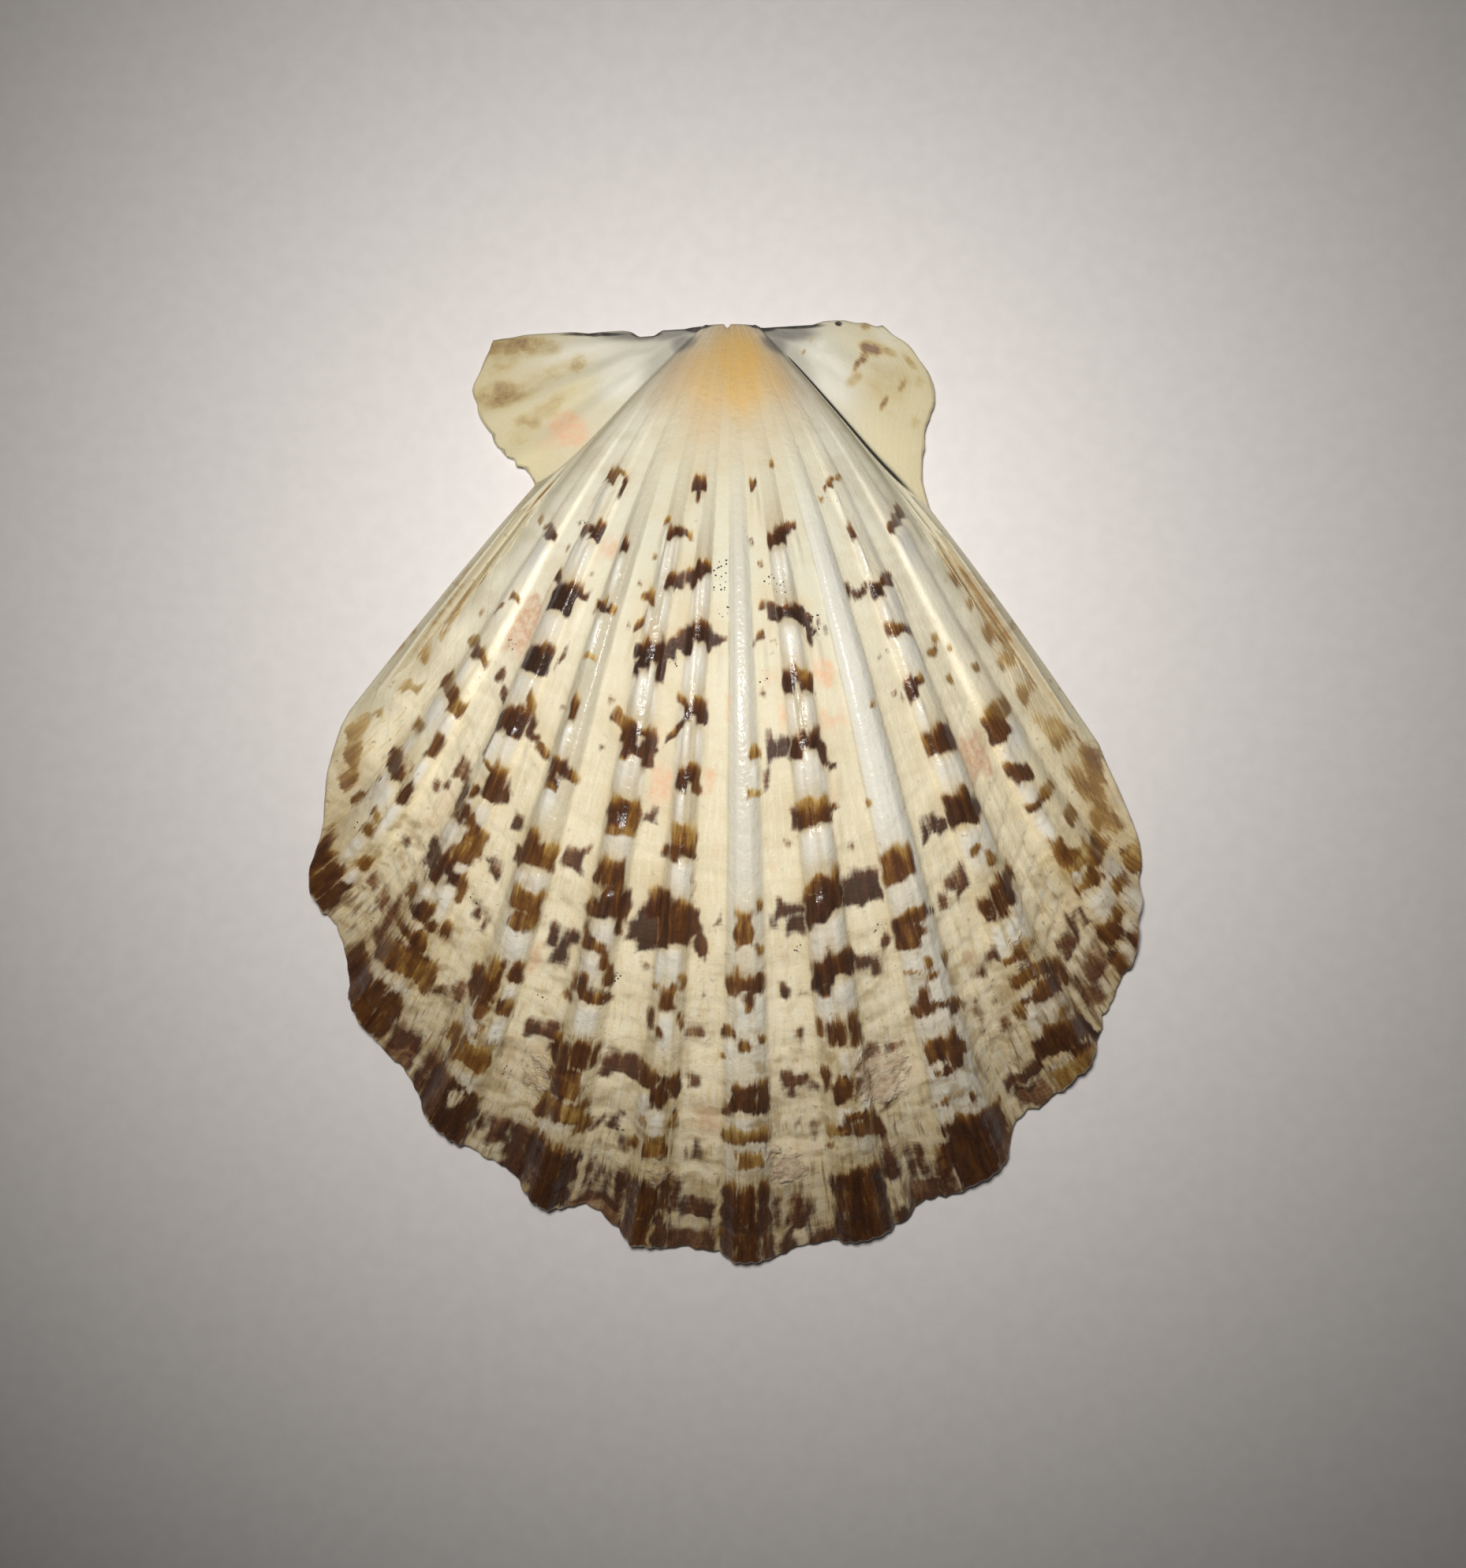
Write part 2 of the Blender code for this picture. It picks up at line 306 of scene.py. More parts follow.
# %% Brown marks on the ribs and flanks
BROWN_LEFT_FLANK = (
    (-39.0, -38.7, 17.5, 19.2, 0.5), (-38.5, -37.9, 25.8, 27.3, 0.5), (-38.2, -37.5, 29.8, 31.3, 0.62),
    (-37.7, -37.1, 31.6, 32.4, 0.35), (-38.1, -37.0, 33.9, 34.9, 0.52, 0.6),
    (-37.3, -35.6, 36.4, 37.4, 0.5, -0.8), (-37.0, -36.2, 39.8, 40.5, 0.46),
    (-37.5, -36.5, 41.4, 43.3, 0.42, 1.0), (-36.6, -34.3, 43.9, 45.2, 0.72, 2.6),
    (-35.3, -34.3, 45.0, 46.4, 0.55, 0.6), (-33.8, -33.4, 45.8, 47.3, 0.62),
    (-36.4, -35.0, 19.9, 20.7, 0.52, 0.3), (-35.2, -34.7, 28.5, 29.2, 0.4),
    (-34.2, -33.7, 30.5, 31.6, 0.45), (-36.0, -34.9, 47.5, 48.6, 0.4, 1.2),
    (-34.8, -34.2, 48.9, 49.8, 0.42, 0.6),
)
BROWN_A = (
    (-34.0, -32.5, 20.3, 20.9, 0.42), (-32.7, -29.9, 20.5, 21.6, 0.88, 0.3),
    (-31.9, -30.0, 26.2, 27.0, 0.52, 0.3), (-32.9, -32.0, 27.3, 28.3, 0.5, -0.4),
    (-34.0, -32.3, 30.5, 31.6, 0.42), (-32.5, -31.5, 31.0, 32.2, 0.76),
    (-31.6, -29.8, 31.0, 32.4, 0.56, 0.6), (-34.0, -31.1, 34.3, 35.9, 0.66, 0.9),
    (-31.4, -29.6, 35.2, 36.7, 0.6), (-33.9, -32.5, 38.2, 39.5, 0.66), (-30.95, -29.85, 38.3, 40.6, 0.8),
    (-33.95, -32.4, 41.2, 43.2, 0.98, 0.7), (-32.6, -31.3, 41.7, 43.7, 1.0),
    (-31.05, -30.0, 42.7, 44.7, 1.0), (-33.5, -33.0, 43.9, 44.6, 0.5),
    (-31.9, -31.1, 46.1, 47.2, 0.54, 0.5), (-31.8, -30.9, 47.3, 48.5, 0.74),
    (-30.6, -29.5, 49.9, 51.5, 0.64), (-33.2, -31.9, 50.6, 54.6, 0.95, 1.0),
    (-31.95, -30.6, 51.6, 55.2, 1.0, 0.8), (-30.6, -29.7, 52.8, 56.4, 0.9),
)
BROWN_B = (
    (-27.0, -24.4, 14.5, 15.9, 0.6, 0.2), (-26.2, -24.8, 15.0, 16.1, 0.72), (-24.8, -22.8, 14.6, 15.1, 0.5),
    (-22.9, -22.3, 14.9, 15.8, 0.9), (-22.7, -21.8, 15.4, 16.6, 1.0, 0.3), (-26.1, -24.9, 19.5, 20.6, 0.88),
    (-25.0, -23.9, 19.2, 20.1, 0.72), (-23.95, -22.1, 19.0, 20.6, 1.1), (-25.6, -22.1, 24.0, 26.5, 1.25),
    (-22.2, -20.4, 24.0, 24.9, 0.92, 0.2), (-26.7, -25.5, 23.4, 24.4, 0.85, 0.6),
    (-25.6, -22.1, 29.0, 31.3, 1.25), (-25.4, -23.8, 33.9, 36.1, 1.1), (-24.0, -22.1, 33.9, 35.5, 1.05),
    (-23.9, -22.2, 35.2, 36.3, 0.52), (-23.0, -21.9, 32.9, 34.1, 0.66, 1.5),
    (-21.95, -21.2, 34.1, 35.8, 0.84), (-21.4, -20.3, 35.2, 35.9, 0.72, 0.2),
    (-20.5, -18.6, 36.0, 36.6, 0.66, 0.4), (-24.9, -23.7, 38.3, 39.1, 0.56, 0.3),
    (-23.85, -22.1, 38.5, 41.3, 1.0), (-22.2, -21.2, 39.5, 41.1, 0.9), (-24.95, -24.0, 40.4, 41.4, 0.72),
    (-25.2, -24.2, 41.8, 43.3, 0.9), (-26.0, -24.3, 43.0, 43.8, 0.6), (-24.1, -23.3, 42.6, 43.5, 0.88),
    (-23.7, -21.8, 43.3, 45.3, 0.72, 0.9), (-24.3, -22.2, 45.0, 46.4, 0.74),
    (-25.3, -24.1, 45.9, 49.0, 1.05), (-24.25, -23.4, 45.9, 47.9, 1.0), (-23.6, -22.3, 47.3, 48.4, 0.66),
    (-22.5, -21.8, 47.8, 49.4, 0.62), (-26.3, -25.6, 49.2, 51.2, 0.88), (-24.5, -23.5, 50.1, 52.0, 0.92),
    (-25.4, -24.3, 50.8, 51.8, 0.56), (-22.5, -21.7, 51.2, 52.5, 0.66), (-23.6, -22.7, 51.6, 52.6, 0.5),
    (-26.1, -22.9, 52.7, 54.0, 0.88, 1.1), (-25.9, -21.4, 54.3, 57.0, 0.78, 1.0),
    (-26.3, -24.9, 57.4, 61.6, 1.0, 0.5), (-24.95, -23.6, 57.9, 62.4, 1.0),
    (-23.65, -22.3, 58.6, 63.2, 0.95),
)
BROWN_C = (
    (-18.2, -16.9, 19.5, 20.9, 1.05, 0.2), (-19.1, -18.1, 24.6, 25.4, 0.48),
    (-18.2, -17.3, 24.4, 25.6, 1.0), (-17.5, -15.7, 24.7, 25.3, 0.48), (-18.3, -16.5, 28.4, 29.1, 0.35),
    (-17.95, -17.0, 31.7, 33.7, 0.76), (-18.25, -16.5, 36.3, 37.7, 0.94), (-18.1, -16.7, 37.5, 38.9, 0.52),
    (-16.7, -15.0, 36.9, 37.9, 0.48, 0.4), (-18.4, -17.1, 41.9, 44.9, 0.8),
    (-17.3, -15.15, 42.5, 44.7, 0.62), (-15.9, -15.15, 43.2, 44.6, 0.74), (-19.0, -18.3, 43.5, 44.6, 0.56),
    (-18.1, -15.3, 46.3, 48.2, 0.74), (-17.5, -15.3, 47.9, 49.6, 0.62), (-16.4, -15.3, 52.0, 53.6, 0.92),
    (-18.0, -16.7, 52.1, 54.0, 0.56), (-19.0, -16.7, 53.5, 55.8, 1.0), (-17.95, -16.8, 55.5, 57.4, 0.8),
    (-17.3, -16.7, 57.2, 58.7, 0.64), (-16.5, -15.3, 55.2, 56.5, 0.78), (-18.9, -18.0, 55.5, 56.3, 0.62),
    (-19.0, -18.0, 58.3, 60.0, 0.66), (-18.2, -15.7, 59.2, 61.6, 0.62), (-17.3, -16.6, 59.8, 61.2, 0.7),
    (-18.8, -17.3, 62.2, 67.2, 1.05, 0.4), (-17.4, -16.4, 62.7, 63.9, 0.95),
    (-17.5, -16.4, 65.2, 68.2, 0.95), (-16.5, -15.3, 63.4, 68.9, 1.05),
)
BROWN_D = (
    (-12.0, -11.0, 17.5, 18.1, 0.6, -0.3), (-10.9, -10.1, 18.1, 19.2, 1.0), (-10.3, -9.0, 18.1, 18.9, 0.72),
    (-9.3, -8.15, 17.9, 18.8, 1.05), (-8.2, -6.5, 18.1, 18.8, 0.48, 0.6), (-12.7, -11.7, 20.3, 20.8, 0.55),
    (-9.7, -8.15, 21.4, 22.9, 1.05), (-8.3, -7.0, 21.4, 22.6, 0.72), (-11.9, -10.8, 23.1, 24.1, 0.68, 0.5),
    (-12.9, -11.8, 23.2, 23.9, 0.42), (-12.9, -11.6, 25.1, 26.1, 0.76, -0.8),
    (-12.2, -11.1, 27.1, 27.9, 0.9, -0.5), (-11.3, -9.9, 26.6, 28.9, 1.2), (-10.1, -8.8, 26.7, 28.2, 1.05),
    (-8.95, -7.9, 26.4, 29.7, 1.0, 0.4), (-8.1, -6.8, 26.1, 27.8, 1.05), (-11.7, -11.1, 28.4, 29.6, 0.56),
    (-11.7, -9.9, 32.6, 34.5, 1.0), (-10.1, -8.7, 32.9, 33.6, 0.72), (-9.0, -7.8, 32.9, 35.9, 0.9),
    (-8.0, -7.4, 34.2, 34.8, 0.66), (-11.3, -8.8, 34.0, 35.3, 0.46), (-13.0, -11.2, 32.3, 33.0, 0.6, 1.0),
    (-11.6, -8.3, 38.2, 39.6, 0.66), (-11.4, -10.2, 38.4, 39.5, 0.92), (-11.4, -8.4, 39.2, 41.0, 0.52),
    (-11.6, -10.9, 42.9, 44.7, 0.84), (-11.0, -9.0, 42.6, 44.9, 0.92), (-10.5, -8.9, 44.4, 47.0, 1.0),
    (-11.7, -11.1, 45.9, 47.3, 0.84), (-11.2, -8.9, 45.9, 47.2, 0.84), (-9.0, -8.45, 44.9, 48.3, 0.88),
    (-8.75, -8.1, 44.6, 47.0, 0.66), (-11.6, -11.1, 47.7, 49.8, 0.84), (-11.4, -9.5, 48.8, 49.8, 0.64),
    (-9.8, -9.1, 49.3, 51.1, 0.74), (-9.3, -8.6, 50.6, 52.1, 0.78), (-12.0, -11.5, 52.7, 53.9, 0.56),
    (-11.8, -11.2, 51.9, 53.3, 0.8), (-11.1, -10.4, 51.4, 53.4, 0.94), (-11.0, -9.1, 52.5, 53.7, 0.74),
    (-9.0, -8.4, 52.7, 53.5, 0.68), (-11.9, -11.3, 56.9, 59.1, 1.0), (-10.65, -9.2, 56.4, 59.1, 1.05),
    (-11.5, -10.5, 57.5, 59.4, 0.8), (-9.3, -8.6, 56.7, 58.8, 0.98), (-11.9, -11.3, 59.7, 61.1, 0.92),
    (-11.5, -9.5, 59.1, 61.7, 0.64), (-12.1, -11.0, 61.9, 63.9, 0.8), (-11.1, -8.9, 61.9, 63.9, 0.56),
    (-9.3, -8.4, 62.9, 64.9, 0.74), (-11.9, -11.2, 65.4, 70.6, 1.05), (-11.25, -9.45, 65.8, 71.8, 1.1),
    (-9.45, -8.6, 66.3, 71.8, 1.05),
)
BROWN_E = (
    (-8.1, -5.0, 14.0, 15.2, 0.98), (-6.9, -6.1, 15.0, 16.3, 0.62), (-6.8, -5.7, 21.0, 22.2, 0.78),
    (-6.0, -5.1, 21.1, 22.5, 1.0), (-5.35, -4.2, 20.4, 21.8, 1.05), (-4.5, -2.75, 20.4, 21.4, 1.0),
    (-6.95, -5.7, 25.6, 27.3, 1.0), (-5.95, -4.8, 25.3, 27.4, 1.15), (-5.2, -3.9, 24.8, 26.3, 1.15),
    (-4.15, -2.8, 24.9, 26.4, 1.05), (-3.1, -2.4, 25.1, 27.2, 1.0), (-2.6, -1.1, 25.5, 26.6, 0.92),
    (-1.3, -0.2, 25.6, 26.3, 0.55), (-6.1, -4.8, 30.2, 31.1, 0.76, 0.3), (-5.1, -4.2, 30.6, 32.1, 0.96),
    (-6.9, -5.0, 32.5, 33.4, 0.84, -1.4), (-4.5, -3.5, 30.6, 31.7, 0.55), (-3.65, -2.4, 30.5, 32.4, 1.05),
    (-5.25, -4.2, 35.3, 37.1, 1.05), (-4.4, -3.3, 35.2, 36.6, 0.56), (-3.55, -2.85, 35.2, 37.4, 0.74, 0.3),
    (-5.25, -2.85, 39.5, 41.0, 0.54), (-5.25, -2.85, 40.6, 42.1, 0.86), (-6.0, -5.3, 41.3, 42.1, 0.55),
    (-6.7, -5.5, 44.4, 46.7, 1.0, -0.3), (-5.65, -4.75, 44.5, 48.8, 0.95), (-4.85, -3.3, 44.9, 48.4, 0.68),
    (-3.45, -2.85, 45.1, 48.4, 0.95), (-3.0, -2.2, 45.7, 47.6, 0.78), (-2.5, -1.6, 47.1, 49.2, 0.8, 1.0),
    (-5.7, -5.1, 51.2, 51.9, 0.64), (-4.95, -3.75, 51.5, 53.4, 0.86), (-3.6, -3.05, 50.6, 51.9, 0.66),
    (-5.7, -5.2, 53.4, 55.0, 0.84), (-3.4, -3.05, 53.7, 55.0, 0.6), (-5.0, -4.4, 54.7, 55.5, 0.55),
    (-5.8, -4.65, 57.9, 59.9, 1.05), (-4.75, -3.75, 58.9, 61.1, 1.05), (-4.9, -4.4, 57.7, 59.1, 0.9),
    (-3.7, -2.95, 58.2, 60.3, 0.98), (-5.5, -5.0, 62.1, 62.8, 0.7), (-3.45, -2.95, 61.7, 63.1, 0.7),
    (-4.9, -3.5, 63.5, 65.7, 0.7), (-5.95, -5.3, 64.1, 65.3, 0.65), (-5.65, -5.05, 67.2, 70.6, 1.05),
    (-5.05, -3.8, 67.8, 71.2, 1.0), (-3.75, -2.85, 67.1, 70.6, 1.0), (-5.6, -3.9, 70.7, 74.0, 0.92),
    (-3.7, -2.95, 70.8, 74.4, 0.95),
)
BROWN_F = (
    (2.2, 3.25, 33.8, 34.8, 0.6), (1.7, 3.3, 36.8, 37.5, 0.35), (2.4, 3.05, 44.9, 46.0, 0.64),
    (0.65, 2.1, 45.5, 48.5, 0.56), (1.5, 2.05, 46.3, 48.4, 0.68), (2.3, 3.0, 48.2, 49.2, 0.7),
    (-0.05, 0.75, 50.3, 52.0, 0.58), (0.65, 2.05, 50.2, 52.1, 0.86), (2.05, 3.0, 50.6, 51.9, 0.88),
    (1.4, 2.0, 51.9, 53.4, 0.48), (-0.2, 0.65, 54.3, 55.4, 0.74), (1.0, 1.8, 55.2, 56.5, 0.58),
    (2.25, 3.05, 55.2, 56.0, 0.66), (-0.3, 0.2, 56.4, 57.1, 0.46), (0.55, 2.15, 58.9, 61.4, 1.0),
    (2.25, 3.1, 58.7, 61.5, 1.05), (-0.05, 0.7, 60.3, 61.6, 0.52), (-0.05, 3.05, 62.6, 63.9, 0.5),
    (-0.05, 0.45, 62.7, 63.8, 0.7), (0.9, 1.4, 62.9, 64.0, 0.7), (2.2, 3.1, 63.0, 63.9, 0.8),
    (0.85, 2.7, 64.7, 66.1, 0.6), (0.05, 0.95, 67.4, 71.0, 0.98), (0.95, 2.05, 67.4, 71.2, 1.0),
    (2.05, 2.95, 67.6, 71.4, 0.95), (0.05, 0.95, 71.8, 75.0, 0.95), (0.95, 2.15, 71.6, 75.0, 0.95),
    (2.35, 3.1, 71.8, 75.0, 0.95), (-0.1, 3.1, 70.8, 72.4, 0.5),
)
BROWN_G = (
    (9.0, 10.1, 12.7, 13.4, 0.55), (4.1, 5.7, 14.0, 14.9, 0.8, -0.4), (4.4, 5.2, 20.2, 20.8, 0.52),
    (4.1, 5.0, 23.4, 24.1, 0.5), (6.5, 8.4, 18.1, 19.6, 0.96), (8.15, 9.5, 17.7, 19.5, 1.1),
    (9.3, 10.6, 17.9, 18.7, 1.0), (10.4, 11.8, 17.6, 18.3, 0.72, 0.3), (5.2, 6.5, 23.4, 24.8, 0.9),
    (6.5, 9.7, 23.7, 25.1, 1.2, 0.3), (9.3, 10.7, 24.3, 25.7, 1.1, 0.8), (10.2, 10.9, 25.3, 26.8, 1.1),
    (10.7, 11.7, 25.7, 26.3, 1.0), (10.5, 11.3, 24.8, 25.3, 0.9), (3.5, 4.7, 25.5, 26.2, 0.84, -0.3),
    (2.9, 3.4, 26.1, 26.8, 0.6), (6.35, 7.6, 28.3, 30.4, 1.05), (7.5, 8.6, 28.4, 29.3, 0.55),
    (8.4, 10.0, 29.1, 30.4, 0.98), (8.1, 9.7, 28.5, 29.5, 0.55), (6.55, 7.6, 33.1, 34.9, 1.0),
    (7.5, 8.8, 33.2, 34.2, 0.7), (8.5, 9.85, 32.9, 34.5, 1.0), (9.2, 10.3, 34.0, 35.6, 0.96, 0.9),
    (10.1, 11.1, 35.6, 36.2, 0.68), (6.45, 8.3, 38.2, 40.1, 0.76), (8.2, 9.75, 38.4, 39.8, 0.86),
    (6.55, 9.6, 37.8, 38.7, 0.46), (5.95, 6.5, 38.3, 39.9, 0.92), (9.7, 10.6, 38.4, 39.1, 0.75, -0.4),
    (6.45, 8.1, 44.5, 47.2, 1.1, -0.5), (7.9, 9.75, 43.4, 46.5, 1.1, -0.7),
    (6.5, 8.7, 43.6, 44.9, 0.62, -0.3), (6.45, 8.1, 49.6, 51.9, 1.1, -0.5), (7.9, 9.95, 49.1, 51.3, 1.1),
    (6.9, 7.8, 51.7, 52.5, 0.6), (6.45, 7.0, 53.9, 55.5, 0.68), (7.2, 7.75, 54.4, 56.8, 0.68),
    (7.85, 8.65, 54.3, 56.7, 0.95), (8.8, 9.75, 54.1, 56.7, 0.92), (6.6, 7.1, 57.8, 60.1, 0.92),
    (7.2, 8.65, 59.1, 61.2, 0.96), (8.85, 9.8, 57.9, 60.5, 1.0), (7.9, 9.75, 62.0, 62.8, 0.78),
    (8.3, 9.85, 62.8, 64.4, 0.8), (6.5, 8.1, 62.7, 64.1, 0.48), (6.45, 6.95, 64.3, 65.1, 0.66),
    (9.8, 10.2, 62.9, 64.5, 0.78), (6.5, 7.2, 67.5, 74.5, 1.0), (7.05, 8.25, 67.2, 74.5, 1.1),
    (8.15, 9.65, 66.8, 74.5, 1.1),
)
BROWN_H = (
    (15.8, 16.7, 31.8, 32.3, 0.48), (13.1, 13.9, 38.6, 39.3, 0.38), (13.4, 15.3, 42.8, 45.3, 0.68, -0.2),
    (14.0, 16.4, 42.5, 44.9, 0.66), (15.2, 16.4, 42.9, 44.9, 0.78), (13.3, 15.1, 48.2, 50.3, 0.84),
    (13.5, 16.5, 47.3, 48.5, 0.92, -0.6), (14.7, 15.9, 48.5, 49.5, 0.6), (16.5, 17.1, 47.7, 48.3, 0.55),
    (13.5, 14.8, 51.8, 52.3, 0.54), (15.1, 15.8, 51.2, 51.9, 0.54), (15.0, 16.1, 52.3, 53.0, 0.7),
    (16.7, 17.15, 51.0, 52.6, 0.68), (13.6, 14.2, 54.2, 56.0, 0.86), (14.1, 15.0, 53.2, 55.6, 0.86),
    (14.9, 16.4, 54.8, 55.4, 0.78), (16.2, 17.4, 54.9, 56.2, 0.9, 0.5), (13.7, 15.4, 57.4, 59.7, 0.84),
    (15.1, 16.1, 57.2, 60.4, 0.98), (15.9, 16.7, 58.1, 59.5, 0.68), (14.1, 15.4, 60.0, 60.7, 0.74),
    (13.4, 13.8, 62.5, 63.4, 0.55), (14.0, 14.45, 62.4, 63.6, 0.64), (15.05, 15.4, 62.0, 63.1, 0.56),
    (15.9, 16.4, 62.7, 63.7, 0.76), (13.75, 15.0, 64.9, 71.8, 1.05), (14.5, 16.15, 64.5, 71.5, 1.1),
    (16.1, 17.5, 64.6, 67.4, 0.94), (16.1, 17.3, 66.8, 71.0, 0.68), (13.1, 13.8, 66.4, 69.2, 0.56),
)
BROWN_I = (
    (20.3, 21.4, 15.0, 15.8, 0.74), (21.1, 24.3, 14.9, 15.4, 0.42), (19.2, 19.9, 15.4, 15.9, 0.6),
    (17.4, 18.6, 16.2, 16.6, 0.46), (20.65, 21.8, 18.8, 20.1, 0.98), (20.65, 22.5, 23.5, 24.7, 1.1),
    (22.3, 23.5, 23.4, 24.1, 0.68), (23.2, 24.3, 23.0, 24.1, 0.84), (24.1, 25.0, 23.1, 23.6, 0.6),
    (20.65, 22.1, 26.6, 27.8, 0.56), (21.3, 23.7, 26.9, 27.8, 0.7), (23.1, 24.1, 27.1, 28.1, 0.9, 0.4),
    (20.6, 21.9, 30.9, 32.7, 0.98, -0.5), (21.8, 23.1, 31.0, 31.9, 0.55, -0.4),
    (20.6, 22.1, 35.2, 37.1, 0.66), (21.7, 24.1, 34.8, 37.2, 0.95), (20.55, 23.3, 39.9, 42.8, 1.1),
    (23.1, 24.0, 40.6, 42.5, 0.96), (21.3, 22.6, 44.3, 45.1, 0.54), (22.6, 23.6, 45.3, 46.3, 0.54),
    (20.7, 21.75, 48.2, 50.6, 1.0), (21.95, 22.85, 47.5, 50.4, 1.0), (22.75, 23.75, 47.3, 49.8, 0.98),
    (23.6, 24.5, 46.9, 48.1, 0.9), (22.1, 22.9, 52.7, 54.9, 0.74), (20.9, 22.3, 53.3, 54.1, 0.56),
    (22.9, 24.4, 52.5, 53.6, 0.5), (20.9, 23.9, 54.8, 56.1, 0.8, -0.4), (20.7, 22.1, 57.1, 58.1, 0.64),
    (21.9, 24.1, 56.3, 58.0, 0.9, -0.5), (20.5, 21.1, 57.4, 59.1, 0.8), (24.15, 24.8, 54.9, 57.6, 0.86),
    (20.6, 21.9, 61.2, 63.2, 0.96, -0.8), (21.4, 24.3, 60.1, 62.9, 1.05, -0.5),
    (22.9, 23.7, 59.0, 60.2, 0.66), (20.7, 22.5, 63.9, 66.5, 0.56), (22.4, 24.7, 62.7, 65.0, 0.55),
)
BROWN_J = (
    (28.2, 29.4, 19.7, 20.4, 0.82), (28.6, 33.2, 18.9, 20.0, 0.7, -1.2),
    (32.3, 34.4, 18.3, 19.3, 1.0, -0.4), (25.2, 26.9, 29.6, 30.1, 0.55, -0.2),
    (26.6, 27.6, 28.7, 29.2, 0.42), (26.1, 26.9, 32.0, 32.6, 0.44), (27.9, 28.5, 29.8, 30.3, 0.45),
    (29.8, 30.9, 31.9, 32.6, 0.46), (27.8, 29.4, 35.9, 38.4, 0.86), (29.2, 30.3, 35.7, 38.1, 0.56),
    (28.4, 32.1, 35.1, 36.9, 0.6, -0.5), (27.85, 29.0, 39.9, 41.0, 0.9), (28.1, 29.7, 40.2, 41.9, 0.92),
    (29.4, 30.3, 40.4, 41.8, 0.48), (27.95, 29.4, 43.4, 44.3, 0.9), (29.3, 31.7, 42.7, 43.9, 0.55, -0.7),
    (30.7, 31.9, 45.2, 46.7, 0.55, -0.4), (28.2, 29.5, 46.9, 48.6, 0.74), (28.1, 31.1, 48.1, 50.1, 0.4),
    (28.3, 30.3, 50.5, 52.1, 0.68), (30.1, 32.2, 48.8, 51.0, 0.68, -1.0),
    (31.9, 33.7, 46.9, 48.6, 0.72, -1.5), (33.3, 34.4, 45.6, 47.2, 0.7, -1.2),
    (34.1, 35.0, 42.9, 45.4, 0.84, -1.8), (30.2, 31.5, 52.9, 54.1, 0.62), (28.0, 29.1, 54.5, 56.9, 0.92),
    (29.0, 30.0, 54.3, 55.6, 0.68), (29.0, 29.8, 56.4, 58.2, 0.66), (27.4, 28.3, 57.2, 60.0, 0.78),
    (32.0, 33.3, 50.9, 53.2, 0.5), (32.8, 33.5, 47.9, 49.6, 0.5),
)
BROWN_RIGHT_FLANK = (
    (34.6, 36.2, 24.9, 26.3, 0.55), (35.6, 36.1, 25.0, 26.2, 0.8), (35.5, 36.0, 27.4, 29.1, 0.74),
    (34.2, 35.8, 27.3, 28.4, 0.56), (34.1, 35.7, 29.9, 31.4, 0.68), (35.3, 35.9, 29.4, 32.1, 0.72),
    (33.5, 35.5, 32.5, 33.9, 0.68), (33.5, 35.5, 35.2, 36.7, 0.74, -0.5), (33.3, 34.2, 37.7, 39.0, 0.54),
    (34.9, 35.4, 38.7, 39.5, 0.45), (34.2, 34.8, 39.8, 41.4, 0.78), (33.5, 35.1, 38.9, 41.6, 0.4),
    (33.3, 34.1, 42.9, 44.3, 0.54), (33.0, 34.1, 43.9, 46.1, 0.42), (33.2, 34.1, 25.0, 25.4, 0.55),
)
BROWN = (
    *BROWN_LEFT_FLANK, *BROWN_A, *BROWN_B, *BROWN_C, *BROWN_D, *BROWN_E, *BROWN_F, *BROWN_G, *BROWN_H,
    *BROWN_I, *BROWN_J, *BROWN_RIGHT_FLANK,
)
print(len(BROWN), "brown marks")

